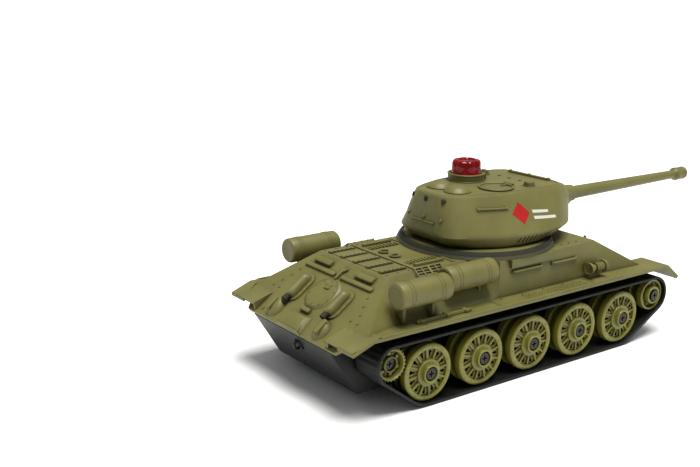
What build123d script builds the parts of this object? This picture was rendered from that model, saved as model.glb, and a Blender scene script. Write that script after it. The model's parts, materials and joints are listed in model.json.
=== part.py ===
from build123d import *
import math
import os

os.makedirs("parts", exist_ok=True)

# ---------------------------------------------------------------------------
# Driving dimensions, in millimetres. +X is forward, +Y is the left side, +Z is up.
# The origin is on the ground, in the middle of the overall length and width.
# ---------------------------------------------------------------------------

# Running gear
wheel_count = 5
wheel_pitch = 30.0
wheel_radius = 12.8
wheel_width = 11.0
wheel_face_y = 44.5  # outer face of a road wheel's rim
guide_groove_width = 3.6
guide_groove_depth = 2.5
belt_thickness = 1.4
belt_width = 15.6
belt_outer_y = 46.2
belt_gap = 0.25  # between the belt and everything that it runs round
sprocket_radius = 7.3
sprocket_behind = 19.2  # sprocket axis behind the first axle
sprocket_z = 22.0
idler_radius = 7.8
idler_ahead = 22.8  # idler axis ahead of the last axle
idler_z = 21.6

# Hull
hull_wall = 1.8
rear_overhang = 41.5  # rear edge of the hull to the first axle
front_overhang = 39.3  # last axle to the tips of the fenders
gun_overhang = 60.7  # tips of the fenders to the muzzle
overall_width = 93.8
fender_z = 36.0
fender_thickness = 1.4
roof_z = 52.0
belly_z = 6.0
tub_half_width = 29.5
glacis_top_behind = 10.0  # top edge of the glacis behind the last axle
glacis_foot_ahead = 19.5

# Turret and gun
turret_ahead = 64.5  # turret axis ahead of the first axle
turret_floor_z = 55.5
turret_belt_z = 60.2
turret_roof_z = 78.2
turret_wall = 1.8
collar_height = 3.0
collar_radius = 37.0
collar_top_radius = 35.2
ring_hole_radius = 26.5
ring_gap = 0.5
gun_z = 66.0
gun_pivot_ahead = 41.0  # trunnion axis ahead of the turret axis
mantlet_radius = 8.2
mantlet_nose = 18.0  # length of the mantlet's block ahead of the trunnions
mantlet_half_width = 9.4
barrel_root_radius = 3.25
barrel_tip_radius = 2.25
muzzle_radius = 3.5
muzzle_length = 9.0
dome_radius = 7.25
dome_top_z = 88.0

# Shafts, screws and fits
running_gap = 0.05  # radial, a shaft turning in its hole
seat_gap = 0.02  # radial, a part pushed on to a shaft
part_gap = 0.3  # between separate pieces
boss_radius = 2.0
screw_head_radius = 2.5
screw_head_height = 1.3
screw_shank_radius = 0.9
shaft_radius = 1.5

# ---------------------------------------------------------------------------
# Derived places
# ---------------------------------------------------------------------------
wheelbase = wheel_pitch * (wheel_count - 1)
overall_length = rear_overhang + wheelbase + front_overhang + gun_overhang
rear_x = -overall_length / 2
first_axle_x = rear_x + rear_overhang
last_axle_x = first_axle_x + wheelbase
axle_z = belt_thickness + belt_gap + wheel_radius
wheel_inner_y = wheel_face_y - wheel_width
sprocket_x = first_axle_x - sprocket_behind
idler_x = last_axle_x + idler_ahead
turret_x = first_axle_x + turret_ahead
belt_inner_y = belt_outer_y - belt_width
fender_edge_y = overall_width / 2
tub_top_z = fender_z - fender_thickness
hull_roof_inner_z = roof_z - hull_wall
sides = {"left": 1, "right": -1}


def save(part, label):
    part.label = label
    export_step(part, f"parts/{label}.step")


def side_plane(x, y, z, side):
    """A plane facing outward from the hull, with its local Z across the hull."""
    return Plane(origin=(x, side * y, z), x_dir=(1, 0, 0), z_dir=(0, side, 0))


def forward_plane(x, y, z):
    """A plane facing forward, with its local X to the left and its local Y up."""
    return Plane(origin=(x, y, z), x_dir=(0, 1, 0), z_dir=(1, 0, 0))


def cross_plane(x, z):
    """A plane through a transverse axis, with its local Z pointing to the left."""
    return Plane(origin=(x, 0, z), x_dir=(1, 0, 0), z_dir=(0, 1, 0))


# ---------------------------------------------------------------------------
# Upper hull: roof, sloped sides, rear plate, glacis and fenders
# ---------------------------------------------------------------------------

# Each corner of the hull: x and half-width at the fenders, x and half-width at the roof
hull_corners = [
    ((first_axle_x - 30.0, 42.5), (first_axle_x - 7.7, 24.1)),
    ((first_axle_x - 12.0, 37.6), (first_axle_x - 2.0, 24.3)),
    ((first_axle_x + 42.5, 37.0), (first_axle_x + 43.5, 24.5)),
    ((first_axle_x + 46.0, 36.8), (first_axle_x + 48.0, 34.6)),
    ((last_axle_x - 20.0, 36.8), (last_axle_x - 20.0, 35.2)),
    ((last_axle_x + glacis_foot_ahead, 38.0), (last_axle_x - glacis_top_behind, 33.0)),
]
foot_rear_x, foot_rear_half = hull_corners[0][0]
deck_rear_x, deck_rear_half = hull_corners[0][1]
foot_front_x = hull_corners[-1][0][0]
roof_front_x, roof_front_half = hull_corners[-1][1]


def hull_level(z, inset):
    """Corners of the hull at a height, moved in by a wall thickness."""
    share = (z - fender_z) / (roof_z - fender_z)
    left = []
    for foot, top in hull_corners:
        x = foot[0] + (top[0] - foot[0]) * share
        half = foot[1] + (top[1] - foot[1]) * share
        left.append([x, half - inset])
    left[0][0] += inset * 1.7  # the end plates lie flat, so their walls reach further along
    left[-1][0] -= inset * 2.0
    right = [(x, -y) for x, y in reversed(left)]
    return [tuple(p) for p in left] + right


rear_slope = math.atan2(roof_z - fender_z, deck_rear_x - foot_rear_x)
rear_foot_z = 28.5
rear_foot_x = foot_rear_x - (fender_z - rear_foot_z) / math.tan(rear_slope)
rear_face = Plane(
    origin=(rear_foot_x, 0, rear_foot_z),
    x_dir=(0, -1, 0),
    z_dir=(-math.sin(rear_slope), 0, math.cos(rear_slope)),
)
rear_face_length = (fender_z - rear_foot_z) / math.sin(rear_slope)
rear_foot_half = 33.0
front_slope = math.atan2(roof_z - fender_z, foot_front_x - roof_front_x)
shelf_half = tub_half_width - 2.0
glacis_face = Plane(
    origin=(foot_front_x, 0, fender_z),
    x_dir=(0, 1, 0),
    z_dir=(math.sin(front_slope), 0, math.cos(front_slope)),
)

fender_profile = [
    (rear_x + 0.6, 32.2 - fender_thickness),
    (rear_x + 0.6, 32.2),
    (foot_rear_x - 1.0, fender_z),
    (last_axle_x + 30.5, fender_z),
    (last_axle_x + front_overhang, 29.0),
    (last_axle_x + front_overhang - 1.0, 29.0 - fender_thickness),
    (last_axle_x + 30.0, fender_z - fender_thickness),
    (foot_rear_x - 0.6, fender_z - fender_thickness),
]

hatch_s = 21.5
tow_y = 18.5

drum_radius = 5.9
drum_z = 49.2
drum_sets = {
    "drum_rear_right": (first_axle_x - 15.0, first_axle_x + 12.0, -40.0),
    "drum_rear_left": (first_axle_x - 15.0, first_axle_x + 12.0, 40.0),
    "drum_front_right": (first_axle_x + 15.5, first_axle_x + 43.0, -34.5),
}
strap_inset = 5.0
strap_width = 1.2
strap_height = 0.3
drum_bead = 0.5
saddle_half = 1.6
saddle_inboard = 2.6  # the saddles stand inboard of the drums' axes
driver_hatch_y = 13.0
screw_column_y = 20.0
screw_columns = [
    (first_axle_x + 8.0, roof_z - 1.0),
    (last_axle_x + 2.0, roof_z - 0.7 - (glacis_top_behind + 2.0) * math.tan(front_slope)),
]
column_radius = 3.2

with BuildPart() as upper_hull:
    with BuildSketch(Plane.XZ) as fender_sheet:
        Polygon(*fender_profile, align=None)
    extrude(amount=fender_edge_y, both=True)
    # Between the front fenders the sheet stops at the foot of the glacis
    with BuildSketch(Plane.XY.offset(fender_z - 12.0)) as nose_gap:
        with Locations((foot_front_x, 0)):
            Rectangle(40.0, 2 * belt_inner_y, align=(Align.MIN, Align.CENTER))
    extrude(amount=13.0, mode=Mode.SUBTRACT)
    # Hull body above the fenders
    with BuildSketch(Plane.XY.offset(tub_top_z)) as foot_outline:
        Polygon(*hull_level(fender_z, 0), align=None)
    extrude(amount=fender_thickness)
    with BuildSketch(Plane.XY.offset(fender_z)) as body_foot:
        Polygon(*hull_level(fender_z, 0), align=None)
    with BuildSketch(Plane.XY.offset(roof_z)) as body_top:
        Polygon(*hull_level(roof_z, 0), align=None)
    loft(ruled=True)
    # Between the rear wings of the fenders only the rear plate stands
    with BuildSketch(rear_face) as rear_clearance:
        Polygon(
            (-rear_foot_half, -4.0),
            (rear_foot_half, -4.0),
            (foot_rear_half, rear_face_length),
            (-foot_rear_half, rear_face_length),
            align=None,
        )
    extrude(amount=12.0, mode=Mode.SUBTRACT)
    # Rear plate below the fenders
    with BuildSketch(rear_face) as rear_plate:
        Polygon(
            (-rear_foot_half, 0),
            (rear_foot_half, 0),
            (foot_rear_half, rear_face_length),
            (-foot_rear_half, rear_face_length),
            align=None,
        )
    extrude(amount=-hull_wall)
    # Pads on both sides that carry the turret ring past the roof's edges
    with BuildSketch(Plane.XY.offset(roof_z - 3.6)) as ring_pad:
        with Locations((turret_x + 2.0, 0)):
            Rectangle(26.0, 2 * 36.6)
    extrude(amount=3.6)
    with BuildSketch(Plane.XY.offset(roof_z)) as collar_foot:
        with Locations((turret_x, 0)):
            Circle(collar_radius)
    with BuildSketch(Plane.XY.offset(roof_z + collar_height)) as collar_top:
        with Locations((turret_x, 0)):
            Circle(collar_top_radius)
    loft()
    # Hollow inside
    with BuildSketch(Plane.XY.offset(tub_top_z - 1.0)) as shelf_opening:
        shelf_rear_x = foot_rear_x + 9.0
        shelf_front_x = foot_front_x - 6.0
        with Locations(((shelf_rear_x + shelf_front_x) / 2, 0)):
            Rectangle(shelf_front_x - shelf_rear_x, 2 * shelf_half)
    extrude(amount=2.0 + fender_thickness, mode=Mode.SUBTRACT)
    with BuildSketch(Plane.XY.offset(fender_z)) as hollow_foot:
        Polygon(*hull_level(fender_z, hull_wall), align=None)
    with BuildSketch(Plane.XY.offset(hull_roof_inner_z)) as hollow_top:
        Polygon(*hull_level(hull_roof_inner_z, hull_wall), align=None)
    loft(ruled=True, mode=Mode.SUBTRACT)
    with BuildSketch(Plane.XY.offset(hull_roof_inner_z - 1.0)) as ring_hole:
        with Locations((turret_x, 0)):
            Circle(ring_hole_radius)
    extrude(amount=collar_height + hull_wall + 2.0, mode=Mode.SUBTRACT)
    # Columns inside for the case screws
    for x, top_z in screw_columns:
        with BuildSketch(Plane.XY.offset(tub_top_z)) as column:
            with Locations((x, -screw_column_y), (x, screw_column_y)):
                Circle(column_radius - 0.6)
        extrude(amount=top_z - tub_top_z)
        with BuildSketch(Plane.XY.offset(tub_top_z)) as column_hole:
            with Locations((x, -screw_column_y), (x, screw_column_y)):
                Circle(screw_shank_radius + seat_gap)
        extrude(amount=5.0, mode=Mode.SUBTRACT)
    # Saddles under the fuel drums
    for rear, front, y in drum_sets.values():
        with BuildSketch(Plane.XY.offset(fender_z - 0.5)) as saddles:
            for x in (rear + strap_inset + strap_width / 2, front - strap_inset - strap_width / 2):
                with Locations((x, y - math.copysign(saddle_inboard, y))):
                    Rectangle(strap_width + 0.4, 2 * saddle_half)
        extrude(amount=drum_z - 4.0 - fender_z)
        with BuildSketch(forward_plane(rear - 1.0, y, drum_z)) as drum_room:
            Circle(drum_radius + running_gap)
        extrude(amount=front - rear + 2.0, mode=Mode.SUBTRACT)
    # Driver's hatch on the glacis
    with BuildSketch(glacis_face) as driver_hatch:
        with Locations((driver_hatch_y, 17.0)):
            RectangleRounded(15.0, 13.0, 2.0)
    extrude(amount=1.0)
    # Rear plate: access hatch, hinge bars, blocks and the transmission bulge
    with BuildSketch(rear_face) as rear_hatch:
        with Locations((0, hatch_s)):
            Circle(8.0)
    extrude(amount=0.7)
    with BuildSketch(rear_face) as hinge_bars:
        with Locations((-13.0, 32.0), (13.0, 32.0)):
            Rectangle(20.0, 1.6)
        with Locations((-15.0, 36.0), (15.0, 36.0)):
            Rectangle(12.0, 2.4)
        with Locations((0, 33.5)):
            Rectangle(1.4, 7.0)
    extrude(amount=1.0)
    with BuildSketch(rear_face) as bulge:
        Trapezoid(17.0, 7.0, 70, align=(Align.CENTER, Align.MIN))
    extrude(amount=2.2)
    with BuildSketch(rear_face) as tow_brackets:
        with Locations((-tow_y, 6.5), (tow_y, 6.5)):
            Rectangle(2.4, 6.0)
    extrude(amount=3.2)
    # Engine deck: side bars and the long louvre covers
    with BuildSketch(Plane.XY.offset(roof_z)) as deck_bars:
        with Locations((first_axle_x + 20.3, -18.5), (first_axle_x + 20.3, 18.5)):
            Rectangle(15.4, 1.6)
    extrude(amount=0.8)
save(upper_hull.part, "upper_hull")

# ---------------------------------------------------------------------------
# Lower hull: the tub between the tracks, with a boss for every wheel
# ---------------------------------------------------------------------------
tub_wall = 2.0
nose_z = 28.0


def plate_inner_x(z):
    """Where a line just inside the sloping rear plate stands at a height."""
    along = (z - rear_foot_z) / math.tan(rear_slope)
    return rear_foot_x + along + (hull_wall + part_gap) / math.sin(rear_slope)


tub_profile = [
    (plate_inner_x(tub_top_z), tub_top_z),
    (plate_inner_x(rear_foot_z - hull_wall), rear_foot_z - hull_wall),
    (first_axle_x - 26.0, belly_z),
    (last_axle_x + 8.0, belly_z),
    (foot_front_x + (fender_z - nose_z) / math.tan(front_slope), nose_z),
    (foot_front_x + (fender_z - tub_top_z) / math.tan(front_slope), tub_top_z),
]
battery_x = first_axle_x + 60.0
battery_length = 46.0
battery_width = 28.0
battery_height = 15.0
cover_margin = 2.0  # the opening is this much larger than the pack on every side
cover_ledge = 2.0
cover_thickness = 1.2
cover_tab = 6.0  # the end of the cover that takes its screw
cover_sink = 0.6  # depth of the recess for the screw's head
post_x = (first_axle_x + 30.0, first_axle_x + 92.0)
post_y = 20.0
post_radius = 2.0
board_z = 30.0
board_thickness = 1.2
switch_x = first_axle_x + 14.0
switch_travel = 2.0
knob_length = 3.4
knob_width = 2.6
slot_length = knob_length + switch_travel + 2 * part_gap
slot_width = knob_width + 2 * part_gap
jack_x = last_axle_x - 12.0
jack_y = -14.0
jack_radius = 3.0
jack_bore_radius = 1.2
jack_length = 9.0
boss_shoulder_radius = 3.4
boss_shoulder_y = wheel_inner_y - 0.5
wheel_web_t = wheel_width + 0.3  # floor of the screw recess, from the wheel's inner face
boss_end_y = wheel_inner_y + wheel_web_t + 0.1
well_top_z = tub_top_z - 4.0
wheel_places = [(first_axle_x + i * wheel_pitch, axle_z) for i in range(wheel_count)]
boss_places = wheel_places + [(idler_x, idler_z)]

with BuildPart() as lower_hull:
    with BuildSketch(Plane.XZ) as tub_side:
        Polygon(*tub_profile, align=None)
    extrude(amount=tub_half_width, both=True)
    with BuildSketch(Plane.XZ) as tub_hollow:
        Polygon(*tub_profile, align=None)
        offset(amount=-tub_wall, mode=Mode.REPLACE)
    extrude(amount=tub_half_width - tub_wall, both=True, mode=Mode.SUBTRACT)
    with BuildSketch(Plane.XY.offset(tub_top_z)) as tub_mouth:
        mouth_rear_x = foot_rear_x + 7.0
        mouth_front_x = foot_front_x - 4.0
        with Locations(((mouth_rear_x + mouth_front_x) / 2, 0)):
            Rectangle(mouth_front_x - mouth_rear_x, 2 * (tub_half_width - tub_wall))
    extrude(amount=-(tub_wall + 0.5), mode=Mode.SUBTRACT)
    # Battery opening, with a rebate for its cover
    with BuildSketch(Plane.XY.offset(belly_z)) as battery_opening:
        with Locations((battery_x, 0)):
            Rectangle(battery_length + 2 * cover_margin, battery_width + 2 * cover_margin)
    extrude(amount=tub_wall, mode=Mode.SUBTRACT)
    with BuildSketch(Plane.XY.offset(belly_z)) as cover_rebate:
        with Locations((battery_x + cover_tab / 2, 0)):
            Rectangle(
                battery_length + 2 * cover_margin + 2 * cover_ledge + cover_tab,
                battery_width + 2 * cover_margin + 2 * cover_ledge,
            )
    extrude(amount=cover_thickness, mode=Mode.SUBTRACT)
    # Posts for the circuit board and the cover's screw
    with BuildSketch(Plane.XY.offset(belly_z + tub_wall)) as posts:
        for x in post_x:
            with Locations((x, -post_y), (x, post_y)):
                Circle(post_radius)
    extrude(amount=board_z - belly_z - tub_wall)
    cover_screw_x = battery_x + battery_length / 2 + cover_margin + cover_ledge + cover_tab / 2
    with BuildSketch(Plane.XY.offset(belly_z + cover_thickness)) as cover_post:
        with Locations((cover_screw_x, 0)):
            Circle(2.6)
    extrude(amount=8.0)
    with BuildSketch(Plane.XY.offset(belly_z)) as cover_screw_hole:
        with Locations((cover_screw_x, 0)):
            Circle(screw_shank_radius + seat_gap)
    extrude(amount=8.5, mode=Mode.SUBTRACT)
    # Columns and wells for the case screws
    for x, top_z in screw_columns:
        for y in (-screw_column_y, screw_column_y):
            with BuildSketch(Plane.XY.offset(belly_z)) as column:
                with Locations((x, y)):
                    Circle(column_radius)
            extrude(amount=tub_top_z - belly_z)
            with BuildSketch(Plane.XY.offset(belly_z)) as well:
                with Locations((x, y)):
                    Circle(screw_head_radius + 0.1)
            extrude(amount=well_top_z - belly_z, mode=Mode.SUBTRACT)
            with BuildSketch(Plane.XY.offset(belly_z)) as shank_hole:
                with Locations((x, y)):
                    Circle(screw_shank_radius + 0.2)
            extrude(amount=tub_top_z - belly_z, mode=Mode.SUBTRACT)
    # Slot for the power switch and hole for the charging socket
    with BuildSketch(Plane.XY.offset(belly_z)) as switch_slot:
        with Locations((switch_x, 0)):
            Rectangle(slot_length, slot_width)
        with Locations((jack_x, jack_y)):
            Circle(jack_radius + seat_gap)
    extrude(amount=tub_wall, mode=Mode.SUBTRACT)
    # Bosses that the road wheels and the idlers turn on
    for side in sides.values():
        for x, z in boss_places:
            with BuildSketch(side_plane(x, tub_half_width - tub_wall / 2, z, side)):
                Circle(boss_shoulder_radius)
            extrude(amount=boss_shoulder_y - tub_half_width + tub_wall / 2)
            with BuildSketch(side_plane(x, tub_half_width, z, side)):
                Circle(boss_radius)
            extrude(amount=boss_end_y - tub_half_width)
            with BuildSketch(side_plane(x, boss_end_y - 9.0, z, side)):
                Circle(screw_shank_radius + seat_gap)
            extrude(amount=9.0, mode=Mode.SUBTRACT)
        with BuildSketch(side_plane(sprocket_x, tub_half_width - tub_wall - 1, sprocket_z, side)):
            Circle(shaft_radius + running_gap)
        extrude(amount=tub_wall + 2, mode=Mode.SUBTRACT)
save(lower_hull.part, "lower_hull")

with BuildPart() as battery_cover:
    with BuildSketch(Plane.XY.offset(belly_z)) as cover_plate:
        with Locations((battery_x + cover_tab / 2, 0)):
            Rectangle(
                battery_length + 2 * (cover_margin + cover_ledge - part_gap) + cover_tab,
                battery_width + 2 * (cover_margin + cover_ledge - part_gap),
            )
        with Locations((cover_screw_x, 0)):
            Circle(screw_shank_radius + 0.3, mode=Mode.SUBTRACT)
    extrude(amount=cover_thickness)
    with BuildSketch(Plane.XY.offset(belly_z)) as cover_ribs:
        with GridLocations(5.0, 0, 5, 1):
            with Locations((battery_x, 0)):
                Rectangle(1.2, battery_width - 6.0)
    extrude(amount=0.4, mode=Mode.SUBTRACT)
    with BuildSketch(Plane.XY.offset(belly_z)) as cover_countersink:
        with Locations((cover_screw_x, 0)):
            Circle(screw_head_radius + 0.1)
    extrude(amount=cover_sink, mode=Mode.SUBTRACT)
save(battery_cover.part, "battery_cover")

with BuildPart() as battery_pack:
    with BuildSketch(Plane.XY.offset(belly_z + cover_thickness)) as pack_outline:
        with Locations((battery_x, 0)):
            RectangleRounded(battery_length, battery_width, 2.5)
    extrude(amount=battery_height)
save(battery_pack.part, "battery_pack")

with BuildPart() as circuit_board:
    with BuildSketch(Plane.XY.offset(board_z)) as board_outline:
        with Locations(((post_x[0] + post_x[1]) / 2, 0)):
            Rectangle(post_x[1] - post_x[0] + 6.0, 2 * post_y + 6.0)
    extrude(amount=board_thickness)
    with BuildSketch(Plane.XY.offset(board_z + board_thickness)) as chips:
        with Locations((post_x[0] + 16.0, 6.0), (post_x[0] + 40.0, -8.0)):
            Rectangle(9.0, 7.0)
        with Locations((post_x[0] + 30.0, 12.0), (post_x[0] + 36.0, 12.0)):
            Circle(2.4)
    extrude(amount=2.0)
save(circuit_board.part, "circuit_board")

speaker_radius = 10.0
speaker_magnet_radius = 5.5
speaker_x = last_axle_x - 6.0
speaker_y = 9.0
with BuildPart() as speaker:
    with BuildSketch(Plane.XY.offset(belly_z + tub_wall)) as speaker_frame:
        with Locations((speaker_x, speaker_y)):
            Circle(speaker_radius)
    extrude(amount=3.0)
    with BuildSketch(Plane.XY.offset(belly_z + tub_wall + 3.0)) as magnet:
        with Locations((speaker_x, speaker_y)):
            Circle(speaker_magnet_radius)
    extrude(amount=3.0)
save(speaker.part, "speaker")

with BuildPart() as charging_socket:
    with BuildSketch(Plane.XY.offset(belly_z)) as jack_body:
        with Locations((jack_x, jack_y)):
            Circle(jack_radius)
            Circle(jack_bore_radius, mode=Mode.SUBTRACT)
    extrude(amount=jack_length)
    with BuildSketch(Plane.XY.offset(belly_z + tub_wall)) as jack_flange:
        with Locations((jack_x, jack_y)):
            Circle(jack_radius + 1.2)
            Circle(jack_bore_radius, mode=Mode.SUBTRACT)
    extrude(amount=1.5)
save(charging_socket.part, "charging_socket")

switch_body_length = slot_length + 6.0
switch_body_width = slot_width + 3.0
switch_body_height = 5.0
with BuildPart() as switch_housing:
    with BuildSketch(Plane.XY.offset(belly_z + tub_wall)) as switch_can:
        with Locations((switch_x, 0)):
            Rectangle(switch_body_length, switch_body_width)
    extrude(amount=switch_body_height)
    with BuildSketch(Plane.XY.offset(belly_z + tub_wall)) as switch_cavity:
        with Locations((switch_x, 0)):
            Rectangle(slot_length + 3.0, slot_width + 1.0)
    extrude(amount=switch_body_height - 1.0, mode=Mode.SUBTRACT)
save(switch_housing.part, "switch_housing")

# The knob rests at the rear end of its travel
knob_x = switch_x - switch_travel / 2
with BuildPart() as switch_slider:
    with BuildSketch(Plane.XY.offset(belly_z - 1.0)) as knob:
        with Locations((knob_x, 0)):
            Rectangle(knob_length, knob_width)
    extrude(amount=tub_wall + 1.0 + part_gap)
    with BuildSketch(Plane.XY.offset(belly_z + tub_wall + part_gap)) as shoe:
        with Locations((knob_x, 0)):
            Rectangle(knob_length + 2.0, slot_width + 0.4)
    extrude(amount=2.0)
save(switch_slider.part, "switch_slider")

# ---------------------------------------------------------------------------
# Tracks
# ---------------------------------------------------------------------------


def track_loop(extra):
    """The closed outline that runs round all the wheels, a distance outside them."""
    rounds = [
        (sprocket_x, sprocket_z, sprocket_radius),
        (first_axle_x, axle_z, wheel_radius),
        (last_axle_x, axle_z, wheel_radius),
        (idler_x, idler_z, idler_radius),
    ]
    with BuildSketch(Plane.XY, mode=Mode.PRIVATE) as loop:
        for x, z, radius in rounds:
            with Locations((x, z)):
                Circle(radius + extra)
        make_hull()
    return loop.sketch


for side_name, side in sides.items():
    with BuildPart() as track:
        with BuildSketch(Plane.XZ.offset(-side * belt_inner_y)) as belt_outline:
            add(track_loop(belt_gap + belt_thickness))
            add(track_loop(belt_gap), mode=Mode.SUBTRACT)
        extrude(amount=-side * belt_width)
    save(track.part, f"track_{side_name}")

# ---------------------------------------------------------------------------
# Road wheels, idlers and their screws
# ---------------------------------------------------------------------------
rim_width = 2.6
hub_step_radius = 6.0
hub_ring_radius = 4.2
screw_well_radius = 3.0
hub_height = 2.3  # the hub's outer end stands this far outside the rim
web_drop = 1.2
web_inner_t = 5.5


def disc_wheel(label, x, z, side, radius, rim, step_radius, spokes):
    """A moulded wheel: double rim, spoked web and a stepped hub with a well for its screw."""
    face = side_plane(x, wheel_inner_y, z, side)
    rim_inner = radius - rim
    with BuildPart() as wheel:
        with BuildSketch(face) as disc:
            Circle(radius)
        extrude(amount=wheel_width)
        with BuildSketch(face.offset((wheel_width - guide_groove_width) / 2)) as groove:
            Circle(radius + 1.0)
            Circle(radius - guide_groove_depth, mode=Mode.SUBTRACT)
        extrude(amount=guide_groove_width, mode=Mode.SUBTRACT)
        with BuildSketch(face.offset(wheel_width)) as dish:
            Circle(rim_inner)
        extrude(amount=-web_drop, mode=Mode.SUBTRACT)
        if spokes:
            with BuildSketch(face) as back_recess:
                Circle(rim_inner - 0.6)
                Circle(hub_ring_radius + 0.8, mode=Mode.SUBTRACT)
            extrude(amount=web_inner_t, mode=Mode.SUBTRACT)
            spoke_length = rim_inner - step_radius + 0.6
            with BuildSketch(face.offset(wheel_width - web_drop)) as ribs:
                with PolarLocations((rim_inner + step_radius) / 2, spokes):
                    Rectangle(spoke_length, 1.0)
                Circle(rim_inner + 0.2, mode=Mode.INTERSECT)
            extrude(amount=web_drop - 0.3)
            with BuildSketch(face.offset(wheel_width - web_drop)) as holes:
                with PolarLocations(rim_inner - 1.4, spokes, start_angle=180 / spokes):
                    Circle(0.85)
            extrude(amount=-(wheel_width - web_drop - web_inner_t), mode=Mode.SUBTRACT)
        with BuildSketch(face.offset(wheel_width - web_drop)) as hub_step:
            Circle(step_radius)
        extrude(amount=web_drop + 0.4)
        with BuildSketch(face.offset(wheel_width - web_drop)) as hub_ring:
            Circle(hub_ring_radius)
        extrude(amount=web_drop + hub_height)
        with BuildSketch(face.offset(wheel_web_t)) as screw_well:
            Circle(screw_well_radius)
        extrude(amount=hub_height, mode=Mode.SUBTRACT)
        with BuildSketch(face) as bore:
            Circle(boss_radius + running_gap)
        extrude(amount=wheel_width + hub_height, mode=Mode.SUBTRACT)
    save(wheel.part, label)


for side_name, side in sides.items():
    for i, (x, z) in enumerate(wheel_places):
        disc_wheel(f"road_wheel_{side_name}_{i + 1}", x, z, side, wheel_radius, rim_width, hub_step_radius, 12)
    disc_wheel(f"idler_{side_name}", idler_x, idler_z, side, idler_radius, 1.6, 5.0, 0)


def pan_screw(face, length):
    """A pan-head screw whose head stands on a plane and whose shank goes down through it."""
    with BuildPart() as screw:
        with BuildSketch(face) as head:
            Circle(screw_head_radius)
        extrude(amount=screw_head_height)
        with BuildSketch(face) as shank:
            Circle(screw_shank_radius)
        extrude(amount=-length)
        with BuildSketch(face.offset(screw_head_height)) as cross_recess:
            Rectangle(2.8, 0.6)
            Rectangle(0.6, 2.8)
        extrude(amount=-0.7, mode=Mode.SUBTRACT)
    return screw.part


wheel_screw_solids = [
    pan_screw(side_plane(x, boss_end_y, z, side), 8.0)
    for side in sides.values()
    for x, z in boss_places
]
with BuildPart() as wheel_screws:
    add(wheel_screw_solids)
save(wheel_screws.part, "wheel_screws")

# ---------------------------------------------------------------------------
# Drive: sprockets, shafts, final gears, pinions, motors and gearboxes
# ---------------------------------------------------------------------------
gear_module = 0.5
final_teeth = 36
pinion_teeth = 12
drive_centres = gear_module * (final_teeth + pinion_teeth) / 2
motor_x = sprocket_x + drive_centres
gear_inner_y = 20.0
gear_width = 4.0
gearbox_inner_y = 17.0
gearbox_outer_y = tub_half_width - tub_wall - part_gap
gearbox_wall = 1.2
motor_radius = 7.0
motor_length = 14.5
motor_shaft_radius = 1.0
sprocket_width = wheel_width - 0.5
sprocket_seat_t = sprocket_width - 3.0
shaft_end_y = wheel_inner_y + sprocket_seat_t


def gear_points(teeth, module, phase):
    """Corner points of a gear's outline: four to a tooth, with the phase in radians."""
    pitch_radius = module * teeth / 2
    pitch_angle = 2 * math.pi / teeth
    corners = [
        (pitch_radius - 1.2 * module, -0.30),
        (pitch_radius + 0.9 * module, -0.11),
        (pitch_radius + 0.9 * module, 0.11),
        (pitch_radius - 1.2 * module, 0.30),
    ]
    points = []
    for i in range(teeth):
        for radius, share in corners:
            angle = phase + (i + share) * pitch_angle
            points.append((radius * math.cos(angle), radius * math.sin(angle)))
    return points


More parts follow.
